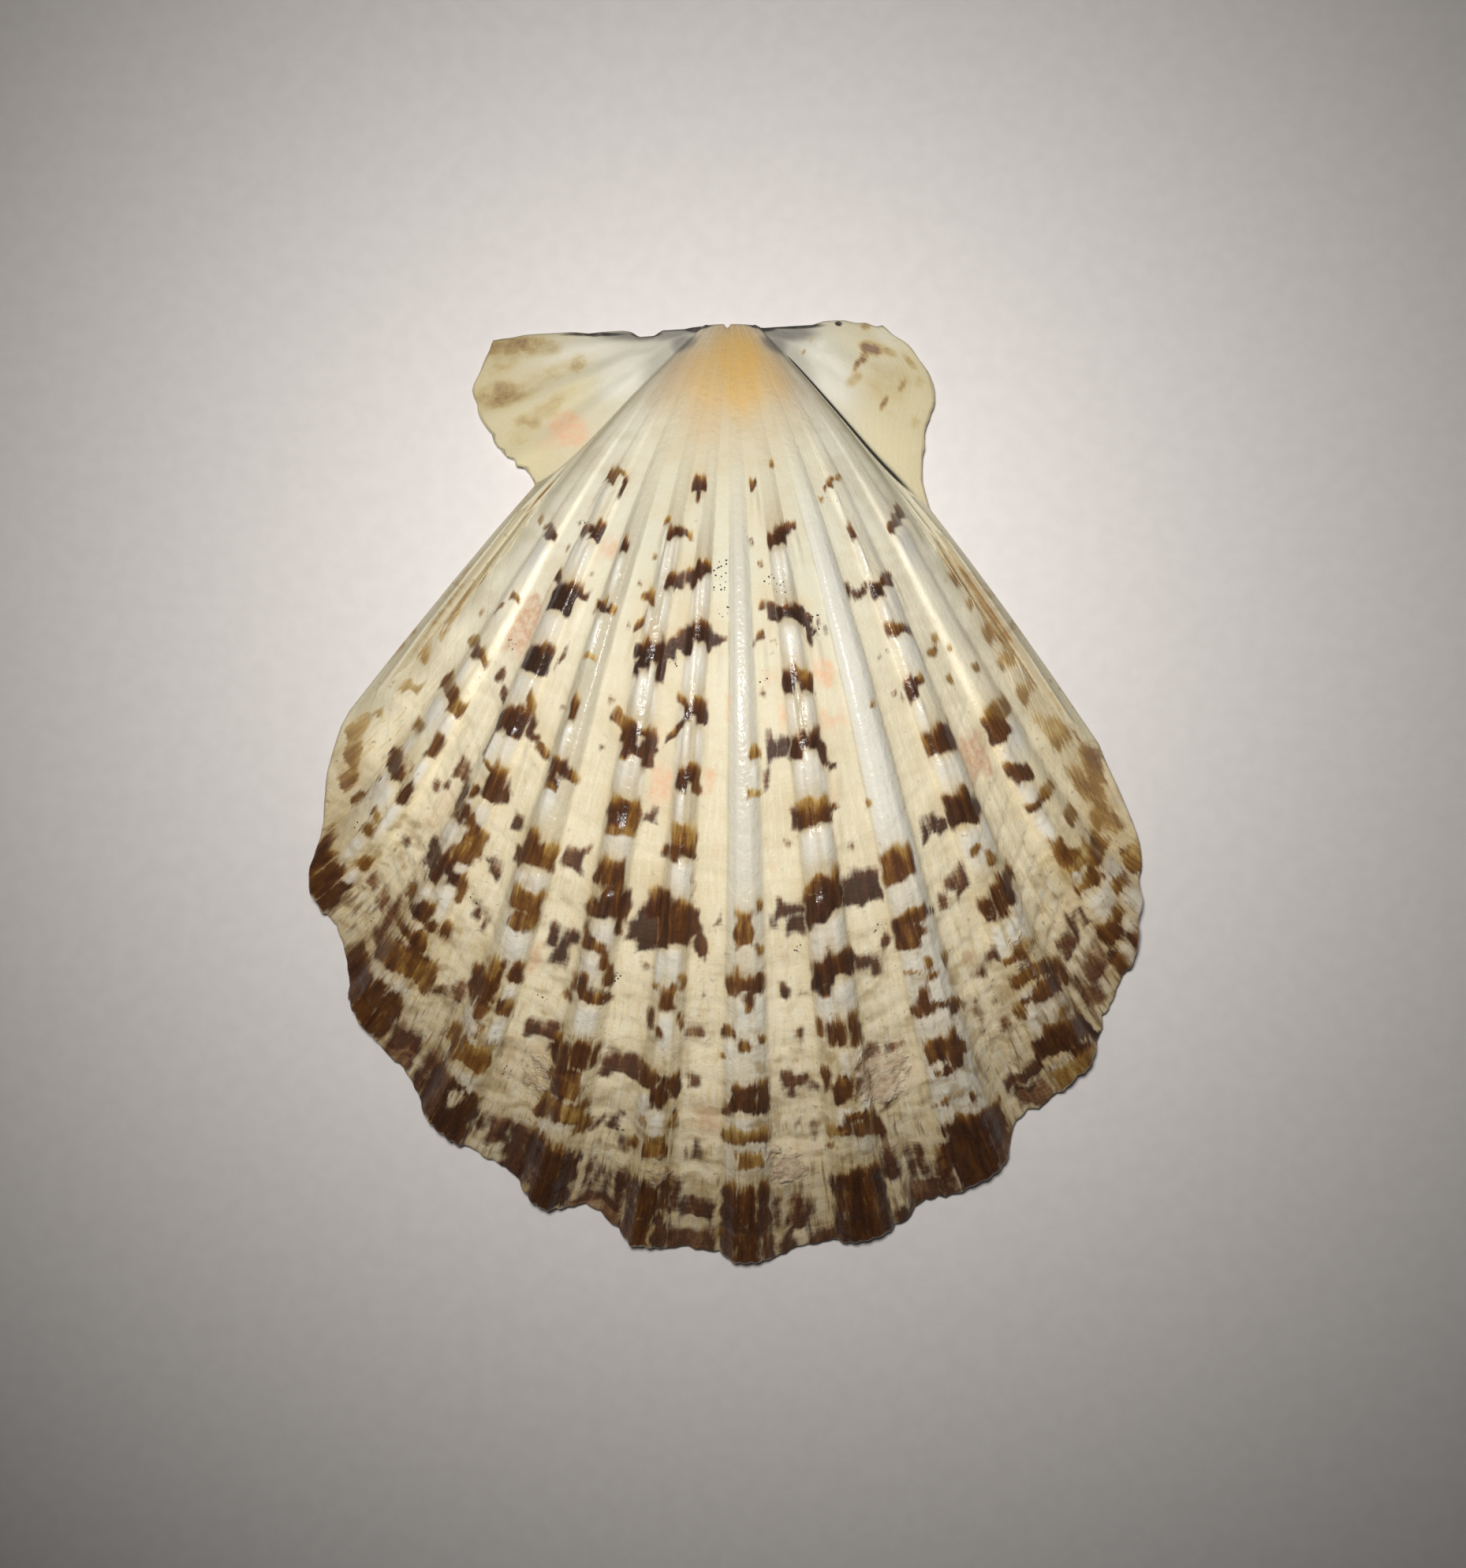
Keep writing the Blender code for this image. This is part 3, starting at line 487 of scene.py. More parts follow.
# %% Purple marks, flesh patches and pin dots in the hollows
PURPLE = (
    (-27.7, -27.1, 19.3, 19.7, 0.8), (-27.2, -26.7, 21.4, 22.0, 0.55), (-28.2, -27.0, 31.8, 32.8, 0.6, 0.5),
    (-26.8, -25.6, 33.1, 33.9, 0.66, 0.3), (-28.95, -28.1, 41.5, 42.6, 0.5),
    (-28.1, -27.3, 41.4, 42.3, 0.45), (-28.9, -28.0, 46.6, 47.6, 0.66),
    (-29.3, -28.2, 50.9, 52.6, 0.5, 0.8), (-28.0, -26.8, 51.7, 53.6, 0.58, 0.6),
    (-26.7, -25.9, 51.4, 55.8, 0.6, 1.0), (-27.0, -25.9, 56.6, 60.6, 0.6, 1.0),
    (-25.45, -25.0, 35.8, 38.4, 0.9), (-26.1, -25.2, 40.3, 43.4, 0.85),
    (-26.5, -25.1, 45.5, 48.4, 0.98, 0.3), (-27.6, -25.9, 39.2, 41.0, 0.4), (-21.5, -20.9, 22.6, 23.1, 0.7),
    (-21.5, -20.7, 28.5, 30.1, 0.58, -1.3), (-19.0, -18.4, 32.6, 33.0, 0.55),
    (-20.1, -19.1, 41.3, 42.5, 0.78), (-21.4, -20.6, 44.9, 45.7, 0.6), (-20.7, -19.6, 45.3, 46.9, 0.8, 0.4),
    (-20.7, -20.0, 49.3, 50.1, 0.52), (-19.8, -19.1, 49.1, 50.9, 0.68), (-21.1, -20.6, 48.6, 49.0, 0.6),
    (-19.9, -18.9, 55.2, 57.3, 0.56), (-21.2, -20.2, 56.2, 57.1, 0.56), (-21.6, -20.8, 60.1, 62.0, 0.74),
    (-22.1, -20.0, 60.5, 64.5, 0.46, 1.0), (-19.6, -18.8, 61.6, 66.5, 0.78),
    (-13.95, -13.3, 22.5, 22.9, 0.5), (-13.9, -13.4, 25.4, 26.1, 0.68), (-14.0, -13.2, 31.1, 31.8, 0.52),
    (-13.4, -12.2, 32.1, 32.8, 0.7), (-13.8, -12.8, 34.8, 35.2, 0.52), (-14.8, -12.8, 42.5, 44.3, 0.72),
    (-14.3, -13.3, 42.4, 43.7, 0.76), (-13.3, -12.4, 42.1, 43.2, 0.6, -0.6),
    (-14.35, -13.4, 48.5, 50.4, 0.95), (-13.6, -12.3, 48.9, 51.5, 0.98), (-13.1, -11.8, 48.4, 49.8, 0.95),
    (-14.3, -11.7, 56.1, 57.5, 0.74, -0.6), (-14.3, -13.1, 64.6, 67.6, 0.6),
    (-13.0, -11.7, 64.9, 70.8, 0.84), (-15.1, -14.6, 64.9, 66.6, 0.56), (-12.3, -11.5, 57.6, 58.4, 0.5),
    (-6.5, -6.0, 17.2, 17.5, 0.6), (-8.2, -6.7, 38.5, 39.9, 0.96), (-8.2, -6.3, 46.6, 48.7, 1.0),
    (-7.3, -5.5, 45.4, 49.1, 1.0, -0.5), (-6.6, -6.0, 50.2, 50.8, 0.62), (-8.6, -5.7, 57.3, 59.4, 0.74),
    (-8.4, -7.6, 62.7, 64.4, 0.84), (-7.25, -6.6, 62.8, 64.3, 0.84), (-6.9, -6.3, 62.1, 62.8, 0.62),
    (-6.45, -5.9, 63.9, 65.6, 0.7), (-8.1, -7.6, 66.9, 70.3, 0.74), (-7.45, -7.05, 67.4, 70.6, 0.76),
    (-6.85, -6.45, 67.9, 70.3, 0.6), (-6.35, -5.6, 67.2, 70.6, 0.92), (-8.5, -5.6, 70.0, 73.0, 0.42),
    (-1.15, -0.45, 45.8, 47.1, 0.72, -0.6), (-1.9, -1.4, 51.3, 52.5, 0.76), (-2.7, -1.5, 54.1, 55.6, 0.5),
    (-2.5, -1.4, 58.2, 59.6, 0.54), (-1.95, -1.35, 63.7, 65.8, 0.8), (-3.0, -2.3, 66.8, 70.3, 0.8),
    (-2.3, -0.3, 68.5, 70.7, 0.8), (-2.9, -0.1, 71.3, 74.0, 0.62), (-3.05, -2.85, 43.0, 44.6, 0.5),
    (3.1, 4.1, 18.8, 19.3, 0.6), (5.2, 6.1, 26.2, 26.6, 0.7), (5.1, 5.7, 27.0, 27.3, 0.66),
    (3.7, 4.3, 29.7, 30.4, 0.6), (3.95, 5.15, 33.0, 35.0, 0.98), (5.0, 6.45, 33.1, 34.9, 0.98),
    (3.5, 4.1, 35.4, 37.1, 0.6, -0.4), (5.1, 5.8, 40.6, 41.2, 0.46), (4.0, 6.45, 45.1, 46.4, 0.95),
    (4.8, 6.4, 45.9, 47.9, 0.95), (3.5, 4.1, 46.1, 47.2, 0.74), (4.0, 4.9, 51.4, 52.6, 0.78, 0.4),
    (5.5, 6.3, 51.9, 52.6, 0.46), (4.8, 5.6, 54.6, 56.0, 0.46), (3.8, 5.8, 58.4, 59.7, 0.72),
    (4.15, 4.9, 59.5, 60.7, 0.74), (5.7, 6.2, 58.9, 60.1, 0.55), (4.5, 5.1, 61.9, 63.0, 0.55),
    (5.65, 6.0, 62.4, 64.1, 0.56), (3.8, 5.0, 68.8, 72.0, 0.76), (4.95, 5.4, 69.0, 70.7, 0.78),
    (3.05, 3.6, 68.3, 71.3, 0.72), (4.9, 6.5, 71.4, 73.8, 0.7), (3.2, 4.2, 71.8, 74.0, 0.62),
    (9.75, 11.1, 44.0, 46.2, 0.98), (10.8, 13.2, 43.6, 46.4, 1.0), (9.9, 11.5, 49.9, 51.1, 0.86),
    (11.1, 12.0, 49.8, 51.9, 0.82), (9.8, 10.8, 57.1, 58.4, 0.76), (11.8, 12.4, 25.0, 25.8, 0.86),
    (12.5, 13.1, 25.9, 26.3, 0.6), (11.0, 11.5, 41.5, 42.1, 0.45), (12.2, 13.1, 48.8, 49.9, 0.58, -1.0),
    (11.3, 12.7, 57.2, 58.0, 0.52), (10.2, 11.0, 61.2, 62.6, 0.66), (9.6, 10.7, 65.8, 68.7, 0.9),
    (9.75, 10.7, 70.8, 73.8, 0.95), (11.6, 12.3, 66.0, 69.2, 0.72), (12.5, 13.0, 67.3, 69.1, 0.6),
    (11.1, 11.6, 65.9, 69.7, 0.58), (12.8, 13.6, 66.6, 71.3, 0.74), (10.9, 12.9, 69.3, 72.4, 0.64),
    (17.0, 18.0, 22.9, 24.2, 0.88), (17.8, 20.2, 23.4, 24.5, 0.84), (19.9, 20.5, 23.2, 23.9, 0.6),
    (18.7, 19.1, 28.6, 29.0, 0.66), (19.85, 20.2, 28.4, 28.8, 0.7), (18.8, 19.7, 31.3, 31.9, 0.5),
    (19.7, 20.1, 31.9, 32.7, 0.54), (18.5, 19.5, 40.8, 42.5, 0.98), (19.3, 20.5, 41.4, 42.7, 1.0),
    (17.6, 18.4, 41.4, 43.1, 0.84, -0.6), (19.3, 20.6, 45.4, 47.6, 0.72, -1.0),
    (18.5, 19.5, 45.7, 47.0, 0.42), (17.5, 18.4, 47.2, 48.3, 0.5), (19.8, 20.9, 52.2, 53.7, 0.86),
    (18.7, 19.8, 53.3, 54.5, 0.56), (17.85, 18.25, 55.4, 59.2, 0.56), (19.2, 20.1, 57.9, 59.4, 0.56),
    (19.3, 19.9, 56.2, 57.1, 0.5), (18.0, 18.4, 59.8, 61.1, 0.5), (18.0, 20.7, 62.9, 64.6, 0.82, -1.7),
    (18.4, 20.6, 64.4, 67.0, 0.5), (25.1, 26.6, 53.7, 55.8, 0.7, -1.2), (26.5, 27.1, 52.7, 54.7, 0.58),
    (27.4, 28.0, 52.5, 54.1, 0.68), (25.7, 27.5, 56.2, 58.4, 0.56, -1.0), (24.8, 26.1, 58.4, 60.6, 0.54),
    (24.8, 25.4, 57.3, 59.1, 0.56),
)
FLESH = (
    (-29.7, -25.8, 25.2, 31.0, 0.95), (-22.2, -18.3, 19.6, 21.9, 0.85), (-22.0, -18.8, 15.6, 17.0, 0.7),
    (-15.4, -14.2, 49.5, 53.4, 0.9), (-8.9, -6.9, 32.3, 34.2, 0.5), (-8.0, -5.3, 35.0, 38.8, 0.85),
    (-6.6, -4.9, 38.4, 40.1, 0.5), (-0.6, 0.35, 29.5, 32.5, 0.85), (-2.7, -1.1, 35.0, 37.8, 0.8),
    (-1.9, 0.0, 37.7, 38.8, 0.5), (-1.8, 0.1, 40.5, 42.3, 0.6), (-0.7, 0.1, 41.9, 44.0, 0.55),
    (-2.2, -0.2, 60.7, 63.8, 0.7), (3.9, 6.4, 28.1, 29.9, 0.75), (3.5, 4.6, 31.1, 33.0, 0.9),
    (5.3, 6.7, 30.6, 33.0, 0.95), (3.2, 4.4, 38.3, 40.0, 0.65), (4.2, 5.4, 38.9, 40.1, 0.5),
    (3.2, 5.0, 41.8, 43.5, 0.7), (3.8, 5.1, 48.5, 49.8, 0.8), (3.9, 6.2, 63.6, 66.7, 0.5),
    (9.8, 12.9, 27.7, 30.6, 0.9), (9.8, 13.4, 31.4, 33.8, 0.7), (9.8, 11.4, 36.8, 38.9, 0.7),
    (-15.3, -12.0, 57.2, 61.5, 0.4), (10.7, 13.5, 57.3, 62.5, 0.4), (23.9, 27.2, 36.2, 40.8, 0.95),
    (26.1, 27.9, 42.5, 45.0, 0.45), (17.5, 19.7, 51.6, 53.8, 0.5), (-28.2, -25.8, 38.0, 46.0, 0.4),
    (24.8, 28.0, 51.5, 54.2, 0.4), (-2.7, -1.9, 30.9, 32.6, 0.5), (6.4, 7.4, 12.0, 14.0, 0.4),
)
PIN_DOTS = (
    (-1.2, 20.3), (-1.2, 20.9), (-1.3, 21.8), (-2.2, 21.2), (-1.6, 21.3), (-1.5, 22.3), (-0.7, 24.0),
    (-7.1, 28.0), (-7.3, 27.8), (-26.8, 19.4), (-26.4, 19.5), (7.7, 22.6), (5.8, 21.7), (19.4, 16.9),
    (-14.5, 60.9), (-14.3, 61.2), (-13.6, 54.3), (-32.3, 48.2), (-6.6, 64.0), (-8.2, 51.5), (-28.4, 30.0),
    (5.6, 48.7), (12.2, 48.3), (-27.3, 54.8), (-21.0, 48.8), (11.5, 24.9), (11.2, 26.1), (3.9, 28.9),
)
print(len(PURPLE), "purple marks,", len(FLESH), "flesh patches,", len(PIN_DOTS), "pin dots")

# %% [markdown]
# ## Painting the marks onto the grid
#
# A mark painted as a hard shape would show the grid's steps. So each mark is stored as two soft
# hills. The cover says where there is pigment: it rises slowly from the upper end and drops
# quickly at the sides and at the lower end, where clear shell grew over it in an arch. The tone
# says how deep the pigment is, and grows from the upper end to the lower. The material cuts the
# cover with fine noise, which leaves ragged fingers above and a crisp edge below.

# %% Soft hills in fan measures
SIDE_SOFT = 0.62  # degrees
FOOT_SOFT = 0.60  # millimetres
CORNER_SHARPNESS = 6.0  # how little a mark's corners are rounded
HEAD_SHARE, LONGEST_HEAD = 0.5, 1.2  # the upper fade's share of a mark's length, and its longest in mm
ARCH = 0.28  # how far clear shell arches up into a wide mark, in millimetres


def wobble(angle, along_mm, count, middle_wave, seed):
    """Smooth unevenness from a few waves, mostly between -1 and 1."""
    waves = np.random.default_rng(seed)
    total = np.zeros(np.broadcast(angle, along_mm).shape)
    for _ in range(count):
        across, along = waves.uniform(0.5, 2.0, 2) * 2 * math.pi / middle_wave
        total += np.sin(angle * across * waves.choice((-1, 1)) + along_mm * along + waves.uniform(0, 6.28))
    return total / math.sqrt(count) / 1.5


def soft_least(*fields):
    """The least of the fields at each point, rounded where two of them meet."""
    parts = [np.exp(-CORNER_SHARPNESS * np.clip(field, -3.0, 3.0)) for field in fields]
    return -np.log(sum(parts)) / CORNER_SHARPNESS


def paint(angle, along_mm, marks, jitter):
    """Cover and tone of the deepest mark at each point."""
    cover, tone = np.zeros_like(along_mm), np.zeros_like(along_mm)
    side_wave = 0.16 * wobble(angle[:, None], along_mm, 6, 3.4, 21)
    end_wave = 0.24 * wobble(angle[:, None], along_mm, 6, 3.2, 22)
    for left, right, top, bottom, depth, *slants in marks:
        near = np.flatnonzero((angle > left - 0.8) & (angle < right + 0.8))
        if not len(near):
            continue
        a = angle[near][:, None] + side_wave[near]
        share = np.clip((a - left) / (right - left), 0.0, 1.0)
        slant = slants[0] if slants else 0.0
        along = along_mm[near] + end_wave[near] - slant * (share - 0.5)
        length = bottom - top
        arch = ARCH * smoothstep(0.6, 1.6, right - left) * smoothstep(0.6, 1.5, length)
        foot_at = bottom - arch * (1 - (2 * share - 1) ** 2) + 0.4 * arch
        head_at = top + jitter[near][:, None] * min(0.22 * length, 0.26)
        head_soft = min(HEAD_SHARE * length + 0.25, LONGEST_HEAD)
        head = (along - head_at) / head_soft + 0.42
        foot = (foot_at - along) / FOOT_SOFT + 0.5
        side = np.minimum(a - left, right - a) / SIDE_SOFT + 0.5
        hill = np.clip(soft_least(head, foot, side), 0.0, 1.0)
        cover[near] = np.maximum(cover[near], hill)
        deep = depth * (0.3 + 0.7 * smoothstep(top - 0.4 * head_soft, top + 0.9 * head_soft, along))
        reach = (foot > -0.6) & (side > -0.6) & (along > top - 0.6)
        tone[near] = np.maximum(tone[near], np.where(reach, deep, 0.0))
    return cover, tone


def patch(angle, along_mm, patches, side_soft=0.7, end_soft=1.5):
    """Soft-edged ovals of flesh colour."""
    field = np.zeros_like(along_mm)
    a = angle[:, None] + 0.25 * wobble(angle[:, None], along_mm, 6, 3.0, 31)
    along = along_mm + 0.5 * wobble(angle[:, None], along_mm, 6, 3.0, 32)
    for left, right, top, bottom, strength in patches:
        side = smoothstep(-0.5, 1.0, np.minimum(a - left, right - a) / side_soft)
        end = smoothstep(-0.4, 1.0, np.minimum(along - top, bottom - along) / end_soft)
        field = np.maximum(field, strength * side * end)
    return field


def blurred(field, columns_wide, rows_long):
    """The field averaged twice over its neighbours, for a stain that has spread."""
    for axis, reach in ((0, columns_wide), (1, rows_long)) * 2:
        padded = np.pad(field, [(reach, reach) if axis == i else (0, 0) for i in (0, 1)], mode="edge")
        summed = np.cumsum(padded, axis=axis)
        size = field.shape[axis]
        low = np.take(summed, range(0, size), axis=axis)
        high = np.take(summed, range(2 * reach, 2 * reach + size), axis=axis)
        field = (high - low) / (2 * reach)
    return field


angle, growth = column_angle[:, None], row_growth[None, :]
ray_mm = ray_length(column_angle) / MM
along_mm = ray_mm[:, None] * growth
riblet_index = np.floor(riblet_number + 1e-6).astype(int) - int(riblet_number.min())
jitter = rng.uniform(-1.0, 1.0, riblet_index.max() + 1)[riblet_index]
brown, brown_tone = paint(column_angle, along_mm, BROWN, jitter)
purple, purple_tone = paint(column_angle, along_mm, PURPLE, jitter)
flesh = patch(column_angle, along_mm, FLESH)
amber_wash = blurred(brown * np.minimum(brown_tone, 0.8), 3, 5)
print("painted share of the outside:", round(float((np.maximum(brown, purple) > 0.5).mean()), 3))

# %% [markdown]
# ## Patches on the ears and the beak
#
# The ears grew from a different part of the margin and their stains don't follow the ribs, so
# these are soft ovals placed in millimetres on the plan: middle, half length, half width, turn in
# degrees and strength.

# %% Soft ovals on the plan
EAR_BROWN = (
    (-17.3, 35.5, 3.2, 1.2, 6, 0.9), (-14.8, 35.5, 2.0, 0.9, 0, 0.5), (-17.9, 34.2, 1.6, 1.0, 15, 0.5),
    (-13.6, 33.5, 3.6, 0.8, 22, 0.5), (-12.1, 34.1, 1.1, 0.8, 40, 0.7), (-18.4, 31.7, 3.0, 1.3, 8, 0.85),
    (-16.2, 32.3, 3.2, 1.1, 24, 0.5), (-16.4, 29.0, 1.9, 1.2, 40, 0.7), (-14.4, 30.7, 3.6, 0.9, 36, 0.45),
    (-19.2, 33.0, 1.3, 1.7, -20, 0.4), (11.5, 35.35, 1.2, 0.6, -15, 1.3), (12.6, 35.15, 1.0, 0.4, -22, 0.9),
    (10.85, 34.75, 0.75, 0.42, 60, 1.15), (10.2, 34.0, 0.6, 0.3, 62, 1.1),
    (12.8, 32.5, 3.1, 2.3, -42, 0.42), (13.8, 32.3, 0.8, 0.28, 55, 0.85), (12.4, 31.0, 0.85, 0.3, 60, 1.05),
    (15.3, 32.7, 0.6, 0.45, 0, 0.65), (14.5, 34.2, 1.2, 0.35, -50, 0.6), (12.9, 30.2, 0.6, 0.45, 0, 0.55),
    (14.9, 29.4, 0.7, 0.5, -30, 0.45), (10.05, 32.9, 1.1, 0.6, 38, 0.5), (6.55, 36.05, 0.34, 0.18, 60, 1.0),
    (5.95, 35.05, 0.34, 0.18, 60, 0.9), (10.9, 37.1, 0.5, 0.35, 0, 0.8),
)
EAR_FLESH = (
    (-13.0, 29.0, 1.7, 1.6, 30, 1.15), (-12.0, 28.3, 1.2, 0.9, 40, 0.8), (-14.6, 27.8, 1.4, 0.8, 30, 0.55),
)
EAR_CREAM = (
    (-12.8, 31.4, 2.8, 1.2, 32, 0.9), (-16.9, 26.6, 2.8, 2.0, 20, 0.9), (-17.2, 30.4, 3.2, 1.6, 20, 0.5),
    (12.9, 28.6, 2.4, 4.2, 22, 0.7), (14.6, 31.0, 1.4, 2.6, 0, 0.5),
)
BEAK_ORANGE = (
    (0.8, 33.4, 2.5, 3.7, 0, 1.0), (1.1, 30.8, 2.1, 3.1, 0, 0.8), (-1.3, 31.6, 2.1, 3.5, 0, 0.55),
    (2.9, 32.6, 1.6, 3.0, 20, 0.55),
)
BEAK_FLESH = (
    (-3.4, 32.0, 2.0, 4.0, -22, 1.0), (-1.6, 28.8, 2.4, 3.6, -8, 0.8), (3.4, 31.2, 1.6, 3.6, 25, 0.8),
    (0.5, 28.6, 2.4, 3.0, 0, 0.5),
)
# Painted shade: a grey band along the hinge either side of the beak, where the thin shell shows the shadow
# under it
BEAK_PAINTED_SHADE = (
    (-6.3, 36.5, 4.4, 0.7, 3, 0.85), (4.6, 36.6, 2.8, 0.8, -2, 0.9), (-3.6, 35.5, 1.3, 1.2, -30, 0.8),
    (3.6, 35.4, 1.3, 1.3, 30, 0.8), (-5.6, 34.0, 1.0, 2.6, -45, 0.35), (5.6, 34.0, 1.0, 2.6, 42, 0.35),
)
EAR_WHITE = (
    (7.4, 35.65, 0.6, 0.45, 20, 1.0), (8.0, 33.4, 1.6, 3.2, 32, 0.8), (-8.6, 32.9, 2.4, 1.5, 38, 0.9),
    (-12.2, 35.1, 3.6, 1.0, 6, 0.6), (12.9, 36.2, 2.0, 0.7, -30, 0.5),
)
HINGE_DIRT_AND_SHADOW = (
    (-11.0, 36.55, 3.2, 0.24, -1, 0.9), (-4.6, 37.05, 3.4, 0.36, 2, 1.0), (4.8, 37.2, 3.2, 0.36, 0, 1.0),
    (8.75, 37.35, 0.36, 0.26, 0, 1.0), (-6.6, 36.5, 1.4, 0.3, 0, 1.0), (-2.5, 37.0, 1.5, 0.5, 0, 1.0),
    (2.6, 37.05, 1.5, 0.5, 0, 1.0),
)  # dirt and painted shadow along the hinge's edge
ENCRUSTED = (
    (4.6, -29.2, 1.8, 1.7, 0, 1.0), (3.4, -27.6, 0.9, 1.0, 0, 0.7), (11.3, -21.6, 2.2, 3.0, 18, 1.0),
    (13.0, -20.6, 1.0, 1.6, 20, 0.8), (-14.8, -22.0, 1.7, 2.4, -14, 0.75), (-5.4, -29.4, 1.2, 2.0, -5, 0.6),
    (-23.5, -6.0, 1.5, 3.2, -35, 0.5), (22.5, -12.6, 1.4, 2.6, 30, 0.5), (19.6, -8.4, 1.0, 2.0, 25, 0.35),
)  # rough pinkish grey crusts near the margin


def ovals(points, patches):
    """The strongest of the soft ovals at each point."""
    field = np.zeros(points.shape[:-1])
    for x, y, half_length, half_width, turn, strength in patches:
        c, s = math.cos(math.radians(turn)), math.sin(math.radians(turn))
        dx, dy = points[..., 0] / MM - x, points[..., 1] / MM - y
        along, across = (dx * c + dy * s) / half_length, (dy * c - dx * s) / half_width
        field = np.maximum(field, strength * smoothstep(1.35, 0.35, np.hypot(along, across)))
    return field


# %% [markdown]
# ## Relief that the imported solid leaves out
#
# Four things shape the fine skin: the riblets, growth steps where the margin paused, the swollen
# pads of clear shell below each dark mark, and a slow unevenness from age. All of them are small,
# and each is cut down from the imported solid's surface, so that the finished shell stays inside it.

# %% Riblets, growth steps, pads and unevenness
RIBLET_DEPTH = 0.13 * MM  # at the margin
GROWTH_STEPS = (
    (14.0, 0.03), (19.5, 0.03), (24.5, 0.04), (29.0, 0.04), (33.5, 0.05), (36.0, 0.06), (39.5, 0.05),
    (43.0, 0.07), (47.5, 0.08), (50.0, 0.08), (53.0, 0.09), (56.3, 0.10), (59.0, 0.09), (61.5, 0.10),
    (64.0, 0.12), (66.0, 0.08), (69.0, 0.08), (71.6, 0.08),
)  # millimetres from the beak on the middle ray, and the step's depth in millimetres
PAD_HEIGHT = 0.20 * MM
EAR_FOLDS, EAR_FOLD_DEPTH = 3.2, 0.34 * MM  # the broad folds that run out along each ear
WORN_SLOPE, WORN_CROWN = 1.5, 0.28  # the sea has rounded the ribs' shoulders, so they lie inside the solid's
EDGE_ROUND = 0.35 * MM
SINK = 0.15 * MM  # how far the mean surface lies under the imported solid's


def riblet_profile(number):
    """0 in a groove, 1 on a crest."""
    return np.abs(np.sin(np.pi * number)) ** 0.8


def growth_relief(angle, growth):
    """How far the surface falls behind each growth step."""
    age_mm = growth * LONGEST_RAY / MM + 0.35 * wobble(angle, growth * 70, 5, 9.0, 3)
    fall = np.zeros(np.broadcast(angle, growth).shape)
    for place, depth in GROWTH_STEPS:
        past = age_mm - place
        fall += depth * np.where(past > 0, np.exp(-np.maximum(past, 0) / 0.9), smoothstep(-0.35, 0.0, past))
    return fall * MM


def pad_relief(angle, along_mm, reach):
    """1 just below the lower end of each strong mark on a rib, fading out over a reach in millimetres."""
    height = np.zeros_like(along_mm)
    for left, right, top, bottom, depth, *slants in BROWN:
        if depth < 0.6 or bottom > 64 or right - left < 0.8:
            continue
        columns = np.flatnonzero((angle > left) & (angle < right))
        a = angle[columns][:, None]
        slant = slants[0] if slants else 0.0
        share = (a - left) / (right - left)
        past = along_mm[columns] - slant * (share - 0.5) - bottom
        fade = np.exp(-((np.maximum(past - 0.7, 0) / reach) ** 2))
        swell = np.where(past > -0.15, fade * smoothstep(-0.15, 0.7, past), 0.0)
        height[columns] = np.maximum(height[columns], swell * np.sin(np.pi * share) ** 0.5)
    return height


is_disc = (ear_share(column_angle) == 0)[:, None]
calm_flank = 1 - 0.93 * smoothstep(0.70, 0.90, np.abs(side_share(angle)))
riblet_strength = np.where(is_disc, 0.06 + 0.94 * smoothstep(0.35, 1.0, growth), 0.0) * calm_flank
riblet_fall = RIBLET_DEPTH * riblet_strength * (1 - riblet_profile(riblet_number))[:, None]
ear_folds = 0.5 + 0.5 * np.cos(2 * math.pi * (ear_share(angle) * EAR_FOLDS - 0.1))
fold_strength = np.where(is_disc, 0.0, np.where(angle < 0, 1.0, 0.3))
riblet_fall += EAR_FOLD_DEPTH * fold_strength * ear_folds * smoothstep(0.1, 0.6, growth)
step_strength = np.where(is_disc, smoothstep(0.3, 0.6, growth) * (0.2 + 0.8 * calm_flank), 0.12)
steps_fall = growth_relief(angle, growth) * step_strength
pads = pad_relief(column_angle, along_mm, 1.9)
white_band = pad_relief(column_angle, along_mm, 2.6)
uneven = 0.04 * MM * wobble(angle, along_mm, 9, 11.0, 5) * smoothstep(0.05, 0.3, growth)
on_rib = rib_share(column_angle)
worn_rib = rib_share(column_angle, WORN_SLOPE, WORN_CROWN)
print("deepest riblet groove in mm:", round(float(riblet_fall.max() / MM), 2))

# %% [markdown]
# ## Wear along the outline
#
# Waves and stones chip a margin and the ears' edges, and some rib ends stand out as small lips.
# These are listed as places with a half width and an amount, because each is an accident of its
# own. They shift both skins together, so the rim stays whole.

# %% Chips and lips
MARGIN_WEAR = (
    (-38.0, 0.4, 0.2), (-35.2, 1.0, 0.2), (-33.0, 0.4, -0.5), (-30.2, 0.7, -0.5), (-28.0, 1.2, -0.6),
    (-23.0, 0.6, -0.3), (-21.7, 0.7, 0.5), (-19.0, 0.5, 0.25), (-14.4, 0.9, 0.35), (-11.3, 0.5, -0.3),
    (-9.0, 0.45, -0.45), (-7.2, 0.8, -0.6), (-5.4, 0.4, -0.4), (-3.8, 0.7, -0.35), (-2.5, 0.5, 0.4),
    (-0.8, 0.7, 0.3), (0.2, 0.4, -0.3), (3.4, 0.5, 0.6), (5.0, 1.4, 0.33), (8.0, 1.6, -0.38),
    (10.3, 0.45, 0.5), (11.3, 0.5, -0.25), (13.0, 0.5, 0.45), (14.3, 0.6, -0.25), (18.2, 0.9, -0.85),
    (21.5, 0.9, -0.5), (24.6, 0.4, 0.7), (26.7, 1.4, 0.65), (30.9, 1.1, -0.75), (35.0, 0.4, -0.6),
)  # degrees of the fan, half width in degrees, millimetres outwards
